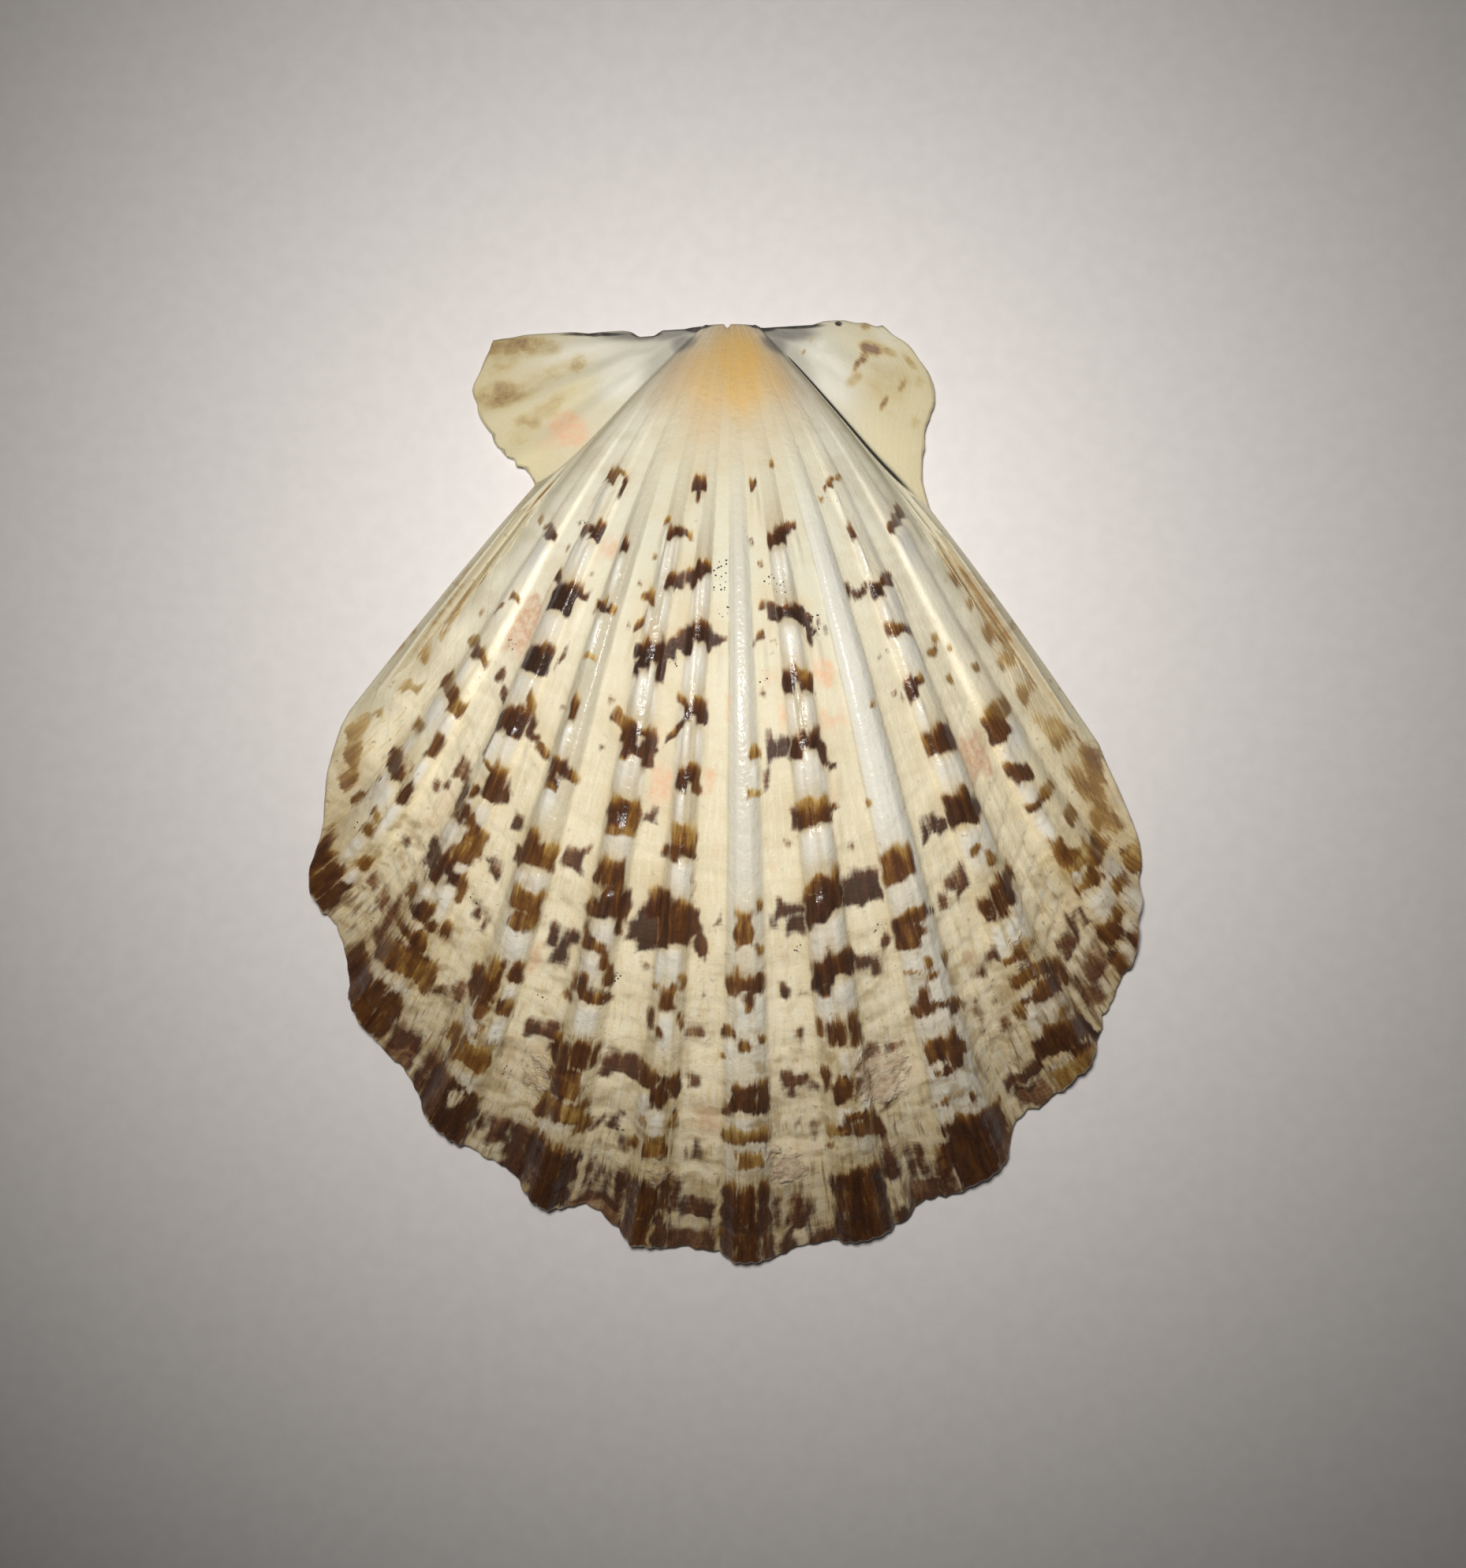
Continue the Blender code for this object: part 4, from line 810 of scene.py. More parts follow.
HINGE_WEAR = (
    (-17.5, 1.2, 0.1), (-14.2, 2.6, 0.35), (-9.6, 1.4, 0.22), (-6.7, 0.9, -0.40), (-2.6, 0.8, 0.10),
    (8.2, 1.2, 0.25), (10.9, 0.9, -0.10), (12.6, 1.3, -0.42),
)  # millimetres to the right of the beak, half width, millimetres towards the hinge side
BEAK_NOTCH, BEAK_NOTCH_HALF = 0.28, 0.30  # millimetres


LEFT_EAR_WEAR = (
    (0.05, 0.020, -0.25), (0.11, 0.022, -0.30), (0.17, 0.015, 0.12), (0.22, 0.022, -0.26),
    (0.29, 0.018, -0.22), (0.35, 0.022, 0.15), (0.41, 0.024, -0.18), (0.62, 0.03, -0.1),
)  # share of the ear from the disc to the hinge, half width, millimetres outwards
RIGHT_EAR_WEAR = (
    (0.09, 0.03, -0.16), (0.2, 0.03, 0.12), (0.31, 0.03, -0.16), (0.46, 0.04, 0.1), (0.6, 0.03, -0.1),
)


def worn(at, wear):
    """The sum of soft-shouldered chips and lips at a place."""
    return sum(amount * smoothstep(1.5, 0.5, np.abs(at - place) / half) for place, half, amount in wear)


def wear_shift(angle, growth):
    """How far wear has moved each point of either skin."""
    share = ear_share(angle)
    direction = np.radians(ray_direction(angle, growth))
    grit = np.abs(wobble(angle, growth * 20, 6, 1.1, 41)) * np.where(share > 0, 0.14, 0.07)
    ear_wear = np.where(angle < 0, worn(share, LEFT_EAR_WEAR), worn(share, RIGHT_EAR_WEAR))
    wear = np.where(share > 0, ear_wear, worn(angle, MARGIN_WEAR)) - grit
    along = wear * smoothstep(0.8, 1.0, growth) * MM
    point = smooth_outside(angle, growth)
    from_beak_x = (point[..., 0] - BEAK_X) / MM
    near_hinge = smoothstep(3.0 * MM, 0.0, hinge_distance(angle, growth)) * (share > 0)
    up = worn(from_beak_x, HINGE_WEAR) * near_hinge * MM
    near_beak = smoothstep(0.9, 0.0, growth * ray_length(angle) / MM)
    up -= BEAK_NOTCH * MM * smoothstep(BEAK_NOTCH_HALF, 0.05, np.abs(from_beak_x + 0.25)) * near_beak
    return np.stack([along * np.sin(direction), up - along * np.cos(direction), 0 * up], axis=-1)


def hinge_distance(angle, growth):
    """Distance from the straight hinge line, which only the ears come near."""
    hinge = np.where(angle < 0, HINGE_LEFT, HINGE_RIGHT)
    turn = np.radians(np.abs(hinge - ray_direction(angle, growth)))
    reach = ray_length(angle) * growth * np.sin(np.minimum(turn, math.pi / 2))
    return np.where(ear_share(angle) > 0, reach, 1.0)


# %% [markdown]
# ## The two skins
#
# The outside and the inside are each one grid, made flat and then moved into shape, and joined
# along their four sides by bridging. A Solidify modifier would be quicker, but the inside of a
# scallop isn't a copy of its outside. It is smooth in the middle, fluted only near the margin and
# flat under the hinge, so it is shaped by its own rule, on a grid three times coarser.

# %% Shape of the outside
BOX_GAP = 0.02 * MM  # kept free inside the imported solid's box


def edge_rounding(distance):
    """How far a surface drops at a distance from a rounded edge."""
    inside = np.clip(EDGE_ROUND - distance, 0.0, EDGE_ROUND)
    return EDGE_ROUND - np.sqrt(np.maximum(EDGE_ROUND**2 - inside**2, 0.0))


def inside_box(points):
    """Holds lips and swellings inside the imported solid's box."""
    least = np.array(cad_box[0]) + (BOX_GAP, BOX_GAP, 0.0)
    return np.clip(points, least, np.array(cad_box[1]) - BOX_GAP)


FLANK_RISE = smooth_curve(((8.0, 0.7), (30.0, 0.56), (44.0, 0.32), (54.0, 0.0)))  # slope by mm from the beak
FLANK_BLEND = 1.1 * MM


def raised_flank(points, angle, along_mm):
    """Fills the flat strip along the disc's two sides, so that the flank rises right from its edge."""
    filled = points.copy()
    side = np.abs(side_share(angle)) * (ear_share(angle) == 0)
    on_side = np.flatnonzero(side > 0.75)
    edge = np.concatenate([points[on_side, -1], points[side == 1.0].reshape(-1, 3)])[:, :2]
    for column in on_side:
        away = points[column, :, None, :2] - edge[None]
        distance = np.hypot(away[..., 0], away[..., 1]).min(axis=1)
        ramp = EAR_HEIGHT + FLANK_RISE(along_mm[column]) * distance
        height = points[column, :, 2]
        over = np.clip(0.5 + (ramp - height) / FLANK_BLEND / 2, 0.0, 1.0)
        blended = height + (ramp - height) * over + FLANK_BLEND * over * (1 - over)
        share = smoothstep(0.75, 0.86, side[column]) * smoothstep(0.0, 0.4 * MM, distance)
        filled[column, :, 2] += (blended - height) * share
    return filled


outer = raised_flank(smooth_outside(angle, growth), column_angle, along_mm)
rib_lift = RIB_HEIGHT * worn_rib[:, None] * growth**0.8 * (0.2 + 0.8 * smoothstep(0.06, 0.34, growth))
relief = rib_lift - SINK * smoothstep(0.0, 0.05, growth) - riblet_fall - steps_fall + uneven
relief += PAD_HEIGHT * pads
normals = outward(angle, growth)
outer[..., 2] += rib_lift
outer += np.where(is_disc[..., None], normals, np.array([0, 0, 1.0])) * (relief - rib_lift)[..., None]
from_margin = (1 - growth) * ray_length(angle)
outer[..., 2] -= edge_rounding(np.minimum(from_margin, hinge_distance(angle, growth)))
outer += wear_shift(angle, growth)
outer = inside_box(outer)
print("outside height in mm:", round(float(outer[..., 2].max() / MM), 2))

# %% Shape of the inside
PLATE_GROWTH, WALL_GROWTH = 0.05, 0.16  # where the flat plate ends and the wall below it meets the dome
PIT_DEPTH, PIT_START, PIT_HALF_WIDTH = 1.2 * MM, 0.8 * MM, 1.3 * MM
INNER_RIB_SHARE = 0.8
SCAR_AT, SCAR_RADIUS, SCAR_DENT = (4.0, 3.0), 9.5, 0.07 * MM  # where the closing muscle was fixed
thickness = smooth_curve(((0.0, 1.6), (0.08, 2.0), (0.25, 1.7), (0.6, 1.3), (0.9, 1.1), (1.0, 0.9)))


def hinge_plate(angle, growth):
    """The plate's flat underside, with the pit that narrows towards the beak."""
    point = smooth_outside(angle, growth)
    from_hinge = BEAK_Y - point[..., 1]
    half_width = PIT_HALF_WIDTH * np.maximum(from_hinge / (LONGEST_RAY * PLATE_GROWTH), 0.2)
    in_pit = smoothstep(1.0, 0.6, np.abs(point[..., 0] - BEAK_X) / half_width)
    point[..., 2] = PIT_DEPTH * in_pit * smoothstep(0.4 * PIT_START, 1.6 * PIT_START, from_hinge)
    return point


inner_angle, inner_growth = inner_columns[:, None], inner_rows[None, :]
inner = smooth_outside(inner_angle, inner_growth)
inner -= outward(inner_angle, inner_growth) * (thickness(inner_growth) * MM)[..., None]
inner_lift = RIB_HEIGHT * rib_share(inner_columns)[:, None] * inner_growth**0.7
inner[..., 2] = np.maximum(inner[..., 2] + INNER_RIB_SHARE * inner_lift * inner_growth**2, 0.0)
at_sides = (ear_share(inner_angle) > 0) | np.isin(inner_angle, (DISC_LEFT, DISC_RIGHT))
on_plate = at_sides | (inner_growth < PLATE_GROWTH)
off_plate = smoothstep(PLATE_GROWTH, WALL_GROWTH, inner_growth)[..., None] * ~on_plate[..., None]
inner = hinge_plate(inner_angle, inner_growth) * (1 - off_plate) + inner * off_plate
inner = inside_box(inner + wear_shift(inner_angle, inner_growth))
from_scar = np.hypot(inner[..., 0] / MM - SCAR_AT[0], (inner[..., 1] / MM - SCAR_AT[1]) * 0.9) / SCAR_RADIUS
scar = smoothstep(1.04, 0.97, from_scar)
inner[..., 2] += SCAR_DENT * scar * (1 - on_plate)
print("inside points:", inner.shape[0] * inner.shape[1])

# %% Two grids, bridged side by side
INSIDE_LEVEL = -0.1  # any height that tells the flat grids apart while they are joined


def edges_of_side(mesh, verts, axis, place):
    """The boundary edges of one flat grid along one of its sides."""
    return [
        edge for edge in mesh.edges
        if edge.is_boundary and all(v in verts and abs(v.co[axis] - place) < 1e-6 for v in edge.verts)
    ]


columns, rows = len(column_angle) - 1, len(row_growth) - 1
mesh = bmesh.new()
top = bmesh.ops.create_grid(mesh, x_segments=columns, y_segments=rows, size=0.5)
top = set(top["verts"])
under = bmesh.ops.create_grid(
    mesh, x_segments=columns // INSIDE_STEP, y_segments=rows // INSIDE_STEP, size=0.5
)
under = set(under["verts"])
for vertex in under:
    vertex.co.z = INSIDE_LEVEL
sides = [
    edges_of_side(mesh, top, axis, place) + edges_of_side(mesh, under, axis, place)
    for axis in (0, 1) for place in (-0.5, 0.5)
]
for side in sides:
    bmesh.ops.bridge_loops(mesh, edges=side)
data = bpy.data.meshes.new("valve_skin")
mesh.to_mesh(data)
mesh.free()
print("faces before shaping:", len(data.polygons))

# %% Move every point to its place
flat = np.zeros(len(data.vertices) * 3, np.float32)
data.vertices.foreach_get("co", flat)
flat = flat.reshape(-1, 3)
is_outer = flat[:, 2] > INSIDE_LEVEL / 2
fine_column = np.rint((flat[:, 0] + 0.5) * columns).astype(int)
fine_row = np.rint((0.5 - flat[:, 1]) * rows).astype(int)
fine_at = fine_column, fine_row
under_at = tuple(np.minimum(at // INSIDE_STEP, most - 1) for at, most in zip(fine_at, inner.shape))
placed = np.where(is_outer[:, None], outer[fine_at], inner[under_at])
data.vertices.foreach_set("co", placed.astype(np.float32).ravel())

# %% [markdown]
# ## What the material needs to know
#
# Colours in a shell follow its growth, and the material can't work that out from X, Y and Z. So
# each point carries a few plain numbers, and a UV map whose U counts riblets and whose V counts
# millimetres from the beak. They are written before the beak's doubled points are merged, because
# after that the grid's order is gone.

# %% Attributes and the growth map
WHITE_RIBS = {"F": 0.45, "H": 0.75}  # these two keep clear, almost unmarked shell in their upper half
PIN_EDGE_MM, PIN_CORE_MM = 0.6, 0.25  # a pin dot's outer edge and its full strength, from its middle


def per_vertex(outside, inside=0.0):
    """A grid of values on the outside as one value for each vertex of the whole mesh."""
    whole = np.broadcast_to(outside, (columns + 1, rows + 1))
    return np.where(is_outer, whole[fine_at], inside)


white_rib = np.zeros_like(column_angle)
for name, strength in WHITE_RIBS.items():
    middle, width = RIBS[name]
    white_rib += strength * (np.abs(column_angle - middle) < width / 2)
pins = np.zeros_like(along_mm)
for place, at_mm in PIN_DOTS:
    near = np.hypot((angle - place) * along_mm * math.pi / 180, along_mm - at_mm)
    pins = np.maximum(pins, smoothstep(PIN_EDGE_MM, PIN_CORE_MM, near))
# Painted shadow: a dark line on each ear right beside the disc's raised side, full on the right and a
# quarter as strong on the left.
crevice_shadow = smoothstep(0.05, 0.0, ear_share(angle)) * smoothstep(0.10, 0.22, growth)
crevice_shadow = crevice_shadow * smoothstep(1.02, 0.8, growth)
on_outside = {
    "brown": brown, "brown_tone": brown_tone, "purple": purple, "purple_tone": purple_tone,
    "amber_wash": amber_wash, "white_band": white_band, "white_rib": white_rib[:, None], "pins": pins,
    "flesh": np.maximum(flesh, ovals(outer, EAR_FLESH) * ~is_disc), "ear": np.where(is_disc, 0.0, 1.0),
    "crevice_shadow": crevice_shadow * np.where(angle < 0, 0.25, 1.0) * ~is_disc,
    "beak_painted_shade": ovals(outer, BEAK_PAINTED_SHADE), "hinge_dirt_and_shadow": ovals(outer, HINGE_DIRT_AND_SHADOW),
}
for name, patches in (("beak_orange", BEAK_ORANGE), ("beak_flesh", BEAK_FLESH), ("crust", ENCRUSTED)):
    on_outside[name] = ovals(outer, patches) * is_disc
for name, patches in (("ear_brown", EAR_BROWN), ("ear_cream", EAR_CREAM), ("ear_white", EAR_WHITE)):
    on_outside[name] = ovals(outer, patches) * ~is_disc
vertex_values = {name: per_vertex(values) for name, values in on_outside.items()}
inner_rib = rib_share(inner_columns)[:, None] + 0 * inner_growth
vertex_values["rib"] = per_vertex(on_rib[:, None], inner_rib[under_at])
vertex_values["scar"] = per_vertex(0.0, scar[under_at])
vertex_values["age"] = growth[0, fine_row]
vertex_values["side"] = np.abs(side_share(column_angle))[fine_column]
vertex_values["inside"] = per_vertex(0.0, 1.0)
for name, values in vertex_values.items():
    layer = data.attributes.new(name, "FLOAT", "POINT")
    layer.data.foreach_set("value", values.astype(np.float32))

corner_vertex = np.zeros(len(data.loops), np.int32)
data.loops.foreach_get("vertex_index", corner_vertex)
growth_map = data.uv_layers.new(name="growth")
uv = np.stack([riblet_number[fine_column], along_mm[fine_column, fine_row]], axis=-1)
growth_map.data.foreach_set("uv", uv[corner_vertex].astype(np.float32).ravel())
print("attributes:", len(vertex_values))

# %% Merge the beak, face outwards and shade
mesh = bmesh.new()
mesh.from_mesh(data)
bmesh.ops.remove_doubles(mesh, verts=list(mesh.verts), dist=0.002 * MM)
bmesh.ops.dissolve_degenerate(mesh, edges=list(mesh.edges), dist=0.0005 * MM)
bmesh.ops.recalc_face_normals(mesh, faces=list(mesh.faces))
open_edges = sum(not edge.is_manifold for edge in mesh.edges)
mesh.to_mesh(data)
mesh.free()
data.shade_smooth()
data.set_sharp_from_angle(angle=math.radians(50))
valve = bpy.data.objects.new("scallop_valve", data)
bpy.context.scene.collection.objects.link(valve)
data.calc_loop_triangles()
print("triangles:", len(data.loop_triangles), "edges that aren't closed:", open_edges)

# %% [markdown]
# ## Shell calcite, worn and glossy
#
# The shell is calcite laid down in thin leaves. Clear leaves on the ribs look like greyish
# porcelain, with a soft gloss and a little light inside them. The hollows are chalkier and cream.
# One function below adds every node, with its settings and links. A small class lets an output be
# added and multiplied like a number, so that a mix of patterns is written as the sum that it is.

# %% One way to add a node
USUAL = {
    "MapRange": {"interpolation_type": "SMOOTHSTEP"},  # value, low, high, then what these two become
    "Mix": {"data_type": "RGBA"},  # share, colour below, colour above
}


def linear(hex_colour):
    """An sRGB hex colour as the linear RGBA that Blender's sockets hold."""
    values = [int(hex_colour[i:i + 2], 16) / 255 for i in (1, 3, 5)]
    values = [v / 12.92 if v <= 0.04045 else ((v + 0.055) / 1.055) ** 2.4 for v in values]
    return (*values, 1.0)


class Output:
    """A node's output that can be added, subtracted and multiplied like a number."""

    def __init__(self, socket):
        self.socket = socket

    def __add__(self, other):
        return add_node("Math", (self, other), operation="ADD")

    def __sub__(self, other):
        return add_node("Math", (self, other), operation="SUBTRACT")

    def __rsub__(self, other):
        return add_node("Math", (other, self), operation="SUBTRACT")

    def __mul__(self, other):
        return add_node("Math", (self, other), operation="MULTIPLY")


def add_node(kind, inputs=(), give=None, stops=(), **settings):
    """Adds a node with its settings, stops and links, and gives its first or its named output."""
    made = tree.nodes.new("ShaderNode" + kind)
    for name, value in (USUAL.get(kind, {}) | settings).items():
        setattr(made, name, value)
    for _ in stops[2:]:
        made.color_ramp.elements.new(1.0)
    for number, (position, hex_colour) in enumerate(stops):
        element = made.color_ramp.elements[number]
        element.position, element.color = position, linear(hex_colour)
    if not isinstance(inputs, dict):
        inputs = dict(zip([i for i, socket in enumerate(made.inputs) if socket.enabled], inputs))
    for name, value in inputs.items():
        if isinstance(value, Output):
            tree.links.new(value.socket, made.inputs[name])
        else:
            made.inputs[name].default_value = linear(value) if isinstance(value, str) else value
    outputs = [socket for socket in made.outputs if socket.enabled and give in (None, socket.name)]
    return Output(outputs[0]) if outputs else None


# %% [markdown]
# ## Patterns that growth sets
#
# Two kinds of pattern are needed. What grew with the shell, such as lengthwise streaks and
# growth lines, is noise on the growth map, so it bends with the fan. What came from outside, such
# as pits, crusts and grit, is noise on plain object coordinates. Noise scales count grains: for
# each riblet and each millimetre on the growth map, and for each millimetre on the object.

# %% The carried values and the patterns
shell = bpy.data.materials.new("sea_worn_shell_calcite")
shell.use_nodes = True
tree = shell.node_tree
tree.nodes.clear()
carried = {name: add_node("Attribute", give="Fac", attribute_name=name) for name in vertex_values}
age, side, rib, ear, inside = (carried[name] for name in ("age", "side", "rib", "ear", "inside"))
place = add_node("TexCoord", give="Object")
fan = add_node("UVMap", uv_map="growth")
from_beak = add_node("SeparateXYZ", (fan,), give="Y")


def growth_noise(across, along, detail, offset=0.0):
    """Noise with so many grains to a riblet across and to a millimetre along."""
    shifted = {"Vector": fan, "Scale": (across, along, 1.0), "Location": (offset, offset, 0.0)}
    mapped = add_node("Mapping", shifted)
    return add_node("TexNoise", {"Vector": mapped, "Scale": 1.0, "Detail": detail, "Roughness": 0.6})


streaks = growth_noise(3.2, 0.55, 3.0)  # lengthwise, a third of a riblet wide
fine_streaks = growth_noise(7.0, 1.6, 2.0, offset=7.3)
broad_streaks = growth_noise(1.1, 0.22, 2.0, offset=17.9)  # lengthwise, a riblet wide
growth_lines = growth_noise(0.12, 3.4, 3.0, offset=3.1)  # crosswise, 0.3 mm apart
clouds = growth_noise(0.35, 0.22, 3.0, offset=11.7)
bands = growth_noise(0.10, 0.45, 2.0, offset=5.9)
dashes = growth_noise(0.6, 0.9, 1.0, offset=21.3)  # short dashes across a rib
drawn = growth_noise(2.4, 0.28, 2.0, offset=33.1)  # long streaks towards the margin
grain = add_node("TexNoise", {"Vector": place, "Scale": 4.2 / MM, "Detail": 1.0})
pits = add_node("TexNoise", {"Vector": place, "Scale": 4.2 / MM, "Detail": 2.0})
ripples = add_node("TexNoise", {"Vector": place, "Scale": 1.7 / MM, "Detail": 1.0})
specks = add_node("TexNoise", {"Vector": place, "Scale": 1.9 / MM, "Detail": 3.0})
crust_noise = add_node("TexNoise", {"Vector": place, "Scale": 1.1 / MM, "Detail": 4.0})
ear_patches = add_node("TexNoise", {"Vector": place, "Scale": 0.48 / MM, "Detail": 4.0, "Roughness": 0.62})
pin_cells = add_node("TexVoronoi", {"Vector": place, "Scale": 3.3 / MM})
print(len(carried), "carried values,", len(tree.nodes), "nodes so far")

# %% Shares that several finishes use
off_flank = add_node("MapRange", (side, 0.90, 0.74, 0.15, 1.0))  # the map is squeezed on steep flanks
older = add_node("MapRange", (age, 0.25, 0.95)) * (1.0 - ear)
to_flank = add_node("MapRange", (side, 0.35, 0.88))
margin_age = (age + (bands - 0.5) * 0.5) * add_node("MapRange", (from_beak, 34.0, 46.0))
crust = add_node("MapRange", (carried["crust"] + (crust_noise - 0.5) * 1.6, 0.40, 0.95))
broad = broad_streaks - 0.5
lined = (growth_lines - 0.5) * 0.8
ragged = (streaks - 0.5) * 0.9 + (fine_streaks - 0.5) * 0.7


def coats(base, *layers):
    """Colours laid over a base one after another, each by its own share."""
    for share, colour in layers:
        base = add_node("Mix", (share, base, colour))
    return base


# %% [markdown]
# ## Clear shell, cream and the ears
#
# The ribs are clear shell over a pale body, greyer near the beak and whiter below each dark mark.
# The hollows are cream, with long pale and yellow streaks that strengthen towards the margin. Each
# is a colour ramp over age, and the two meet at the rib's edge by a share that noise roughens,
# because a straight border would look printed. The ears have their own colours and patches.

# %% Clear shell on the ribs
RIB_BY_AGE = ((0.1, "#C6BDA2"), (0.28, "#AFA997"), (0.5, "#C0B8A2"), (0.75, "#E2D6B6"), (0.95, "#E0CEA2"))
# The steep flanks' near-white colours are partly the shell's own pale tone and partly painted light, lifting
# slopes that the lamp overhead leaves darker.
FLANK_BY_AGE = ((0.08, "#E2D2B6"), (0.2, "#FBF6DF"), (0.5, "#FCF4DA"), (0.72, "#F8EBC6"), (0.95, "#EBD8B0"))
WHITE_BY_AGE = ((0.3, "#CFCDC2"), (0.6, "#E3E1D6"), (0.85, "#F2F0E4"))
FLANK_LENGTH_MM = 57.0  # the colours of the steep flanks go by distance from the beak, not by age
flank_age = add_node("Math", (from_beak, FLANK_LENGTH_MM), operation="DIVIDE")
flank_colour_and_painted_light = add_node("ValToRGB", (flank_age,), stops=FLANK_BY_AGE)
white_below_marks = add_node("MapRange", (carried["white_band"], 0.0, 1.0, 0.0, 0.9))
clear = coats(
    # flank colour, partly painted light
    add_node("ValToRGB", (age,), stops=RIB_BY_AGE),
    (to_flank, flank_colour_and_painted_light),
    (add_node("MapRange", (clouds, 0.35, 0.65, 0.0, 0.25)), "#A79F80"),
    (
        add_node("Math", (white_below_marks, carried["white_rib"]), operation="MAXIMUM"),
        add_node("ValToRGB", (age,), stops=WHITE_BY_AGE),
    ),
)
print("nodes up to the clear shell:", len(tree.nodes))

# %% Cream in the hollows, with its long streaks
HOLLOW_BY_AGE = ((0.1, "#CFC5A8"), (0.28, "#C7C3AE"), (0.5, "#D3C9AC"), (0.75, "#EEE1BF"), (0.95, "#ECDAB2"))
streak_share = older * 0.6
cream = coats(
    add_node("ValToRGB", (age,), stops=HOLLOW_BY_AGE),
    # flank colour, partly painted light
    (to_flank, flank_colour_and_painted_light),
    (add_node("MapRange", (bands, 0.42, 0.68, 0.0, 0.3)), "#C2B28C"),
    (add_node("MapRange", (streaks, 0.50, 0.64)) * streak_share, "#EFEAD4"),
    (add_node("MapRange", (streaks, 0.46, 0.34)) * streak_share, "#D2BC86"),
)
print("nodes up to the cream:", len(tree.nodes))

# %% The ears, and everything pale together
EAR_BY_AGE = ((0.1, "#B2B0A2"), (0.35, "#C2BEAB"), (0.6, "#C9C1A7"), (1.0, "#C5B995"))
ear_colour = coats(
    add_node("ValToRGB", (age,), stops=EAR_BY_AGE),
    (carried["ear_cream"] * add_node("MapRange", (clouds, 0.2, 0.7, 0.5, 1.0)), "#CEC49E"),
    (carried["ear_white"] * add_node("MapRange", (clouds, 0.2, 0.6, 0.3, 0.9)), "#DAD7CA"),
)
rough_rib = rib + (streaks + clouds - 1.0) * 1.1
clear_share = add_node("MapRange", (rough_rib, 0.12, 0.85))
below_beak = add_node("MapRange", (from_beak, 8.0, 22.0))
# Painted shade along the disc's outer sides, where the flank turns down from the light
painted_rim_shade = add_node("MapRange", (side, 0.90, 0.985))
rim_length = add_node("MapRange", (from_beak, 52.0, 40.0))
wash_share = carried["amber_wash"] * add_node("MapRange", (streaks, 0.2, 0.7, 0.6, 1.3))
base = coats(
    cream,
    (clear_share * below_beak, clear),
    # painted shade: greyer along the disc's two outer sides, up to about 50 mm from the beak
    (painted_rim_shade * rim_length * 0.85, "#C2BBA2"),
    (add_node("MapRange", (margin_age, 0.75, 1.05, 0.0, 0.35)), "#A48F68"),
    (wash_share, "#B08F50"),
    (ear, ear_colour),
)
print("nodes up to the pale shell:", len(tree.nodes))

# %% [markdown]
# ## Stains and patches
#
# The outer third grew last and is stained the most: olive dashes cross the ribs there, and brown
# streaks run out to the margin. The beak is worn down to its orange inner leaves, and flesh-pink
# patches lie in the hollows. A grey band of painted shade runs along the hinge either side of the
# beak, where the thin shell shows the shadow under it, and the hinge's edge carries dirt and painted
# shadow. All of it is thin colour, so it is laid on in coats like glazes. Modelled relief would be
# wrong here, since a fingertip would feel nothing.

# %% Stains of the outer third
outer_third = add_node("MapRange", (margin_age, 0.60, 0.86)) * off_flank
near_edge = add_node("MapRange", (margin_age, 0.82, 0.99)) * off_flank
dash_share = add_node("MapRange", (dashes + clouds * 0.7, 0.84, 1.07, 0.0, 0.5))
dark_streaks = add_node("MapRange", (drawn, 0.50, 0.66, 0.0, 0.75))
pale_streaks = add_node("MapRange", (1.0 - drawn, 0.56, 0.72, 0.0, 0.5))
speck_share = add_node("MapRange", (specks, 0.63, 0.74))
base = coats(
    base,
    (dash_share * outer_third, "#94773F"),
    (dark_streaks * near_edge, "#705238"),
    (pale_streaks * near_edge, "#D6CBB4"),
    (speck_share * (older * 0.45), "#6B5A45"),
)
print("nodes up to the stains:", len(tree.nodes))

# %% Beak, painted shade and dirt along the hinge, and flesh patches
near_beak = add_node("MapRange", (from_beak, 14.0, 3.0))
beak_middle = add_node("MapRange", (side, 0.7, 0.2))
halo = add_node("Math", (near_beak * beak_middle, carried["beak_flesh"]), operation="MAXIMUM")
# painted shade along the hinge either side of the beak
beak_shade_share = add_node("MapRange", (carried["beak_painted_shade"], 0.0, 1.0))
# dirt and painted shadow along the hinge's edge
dirt_and_shadow_share = add_node("MapRange", (carried["hinge_dirt_and_shadow"], 0.2, 0.8))
flesh_edge = carried["flesh"] + (clouds + streaks - 1.0) * 0.5
flesh_share = add_node("MapRange", (flesh_edge, 0.1, 1.0))
base = coats(
    base,
    (halo * add_node("MapRange", (clouds, 0.3, 0.7, 0.65, 0.9)), "#CDB38C"),
    (carried["beak_orange"] * add_node("MapRange", (clouds, 0.25, 0.65, 0.75, 1.0)), "#D8B26B"),
    # painted shade near the hinge
    (beak_shade_share * add_node("MapRange", (clouds, 0.2, 0.7, 0.75, 1.0)), "#76726A"),
    # dirt and painted shadow on the hinge's edge
    (dirt_and_shadow_share * add_node("MapRange", (fine_streaks, 0.3, 0.6, 0.7, 1.0)), "#2E2A27"),
    (flesh_share * add_node("MapRange", (specks, 0.35, 0.62, 0.9, 0.5)), "#D6AC88"),
)
print("nodes up to the flesh patches:", len(tree.nodes))

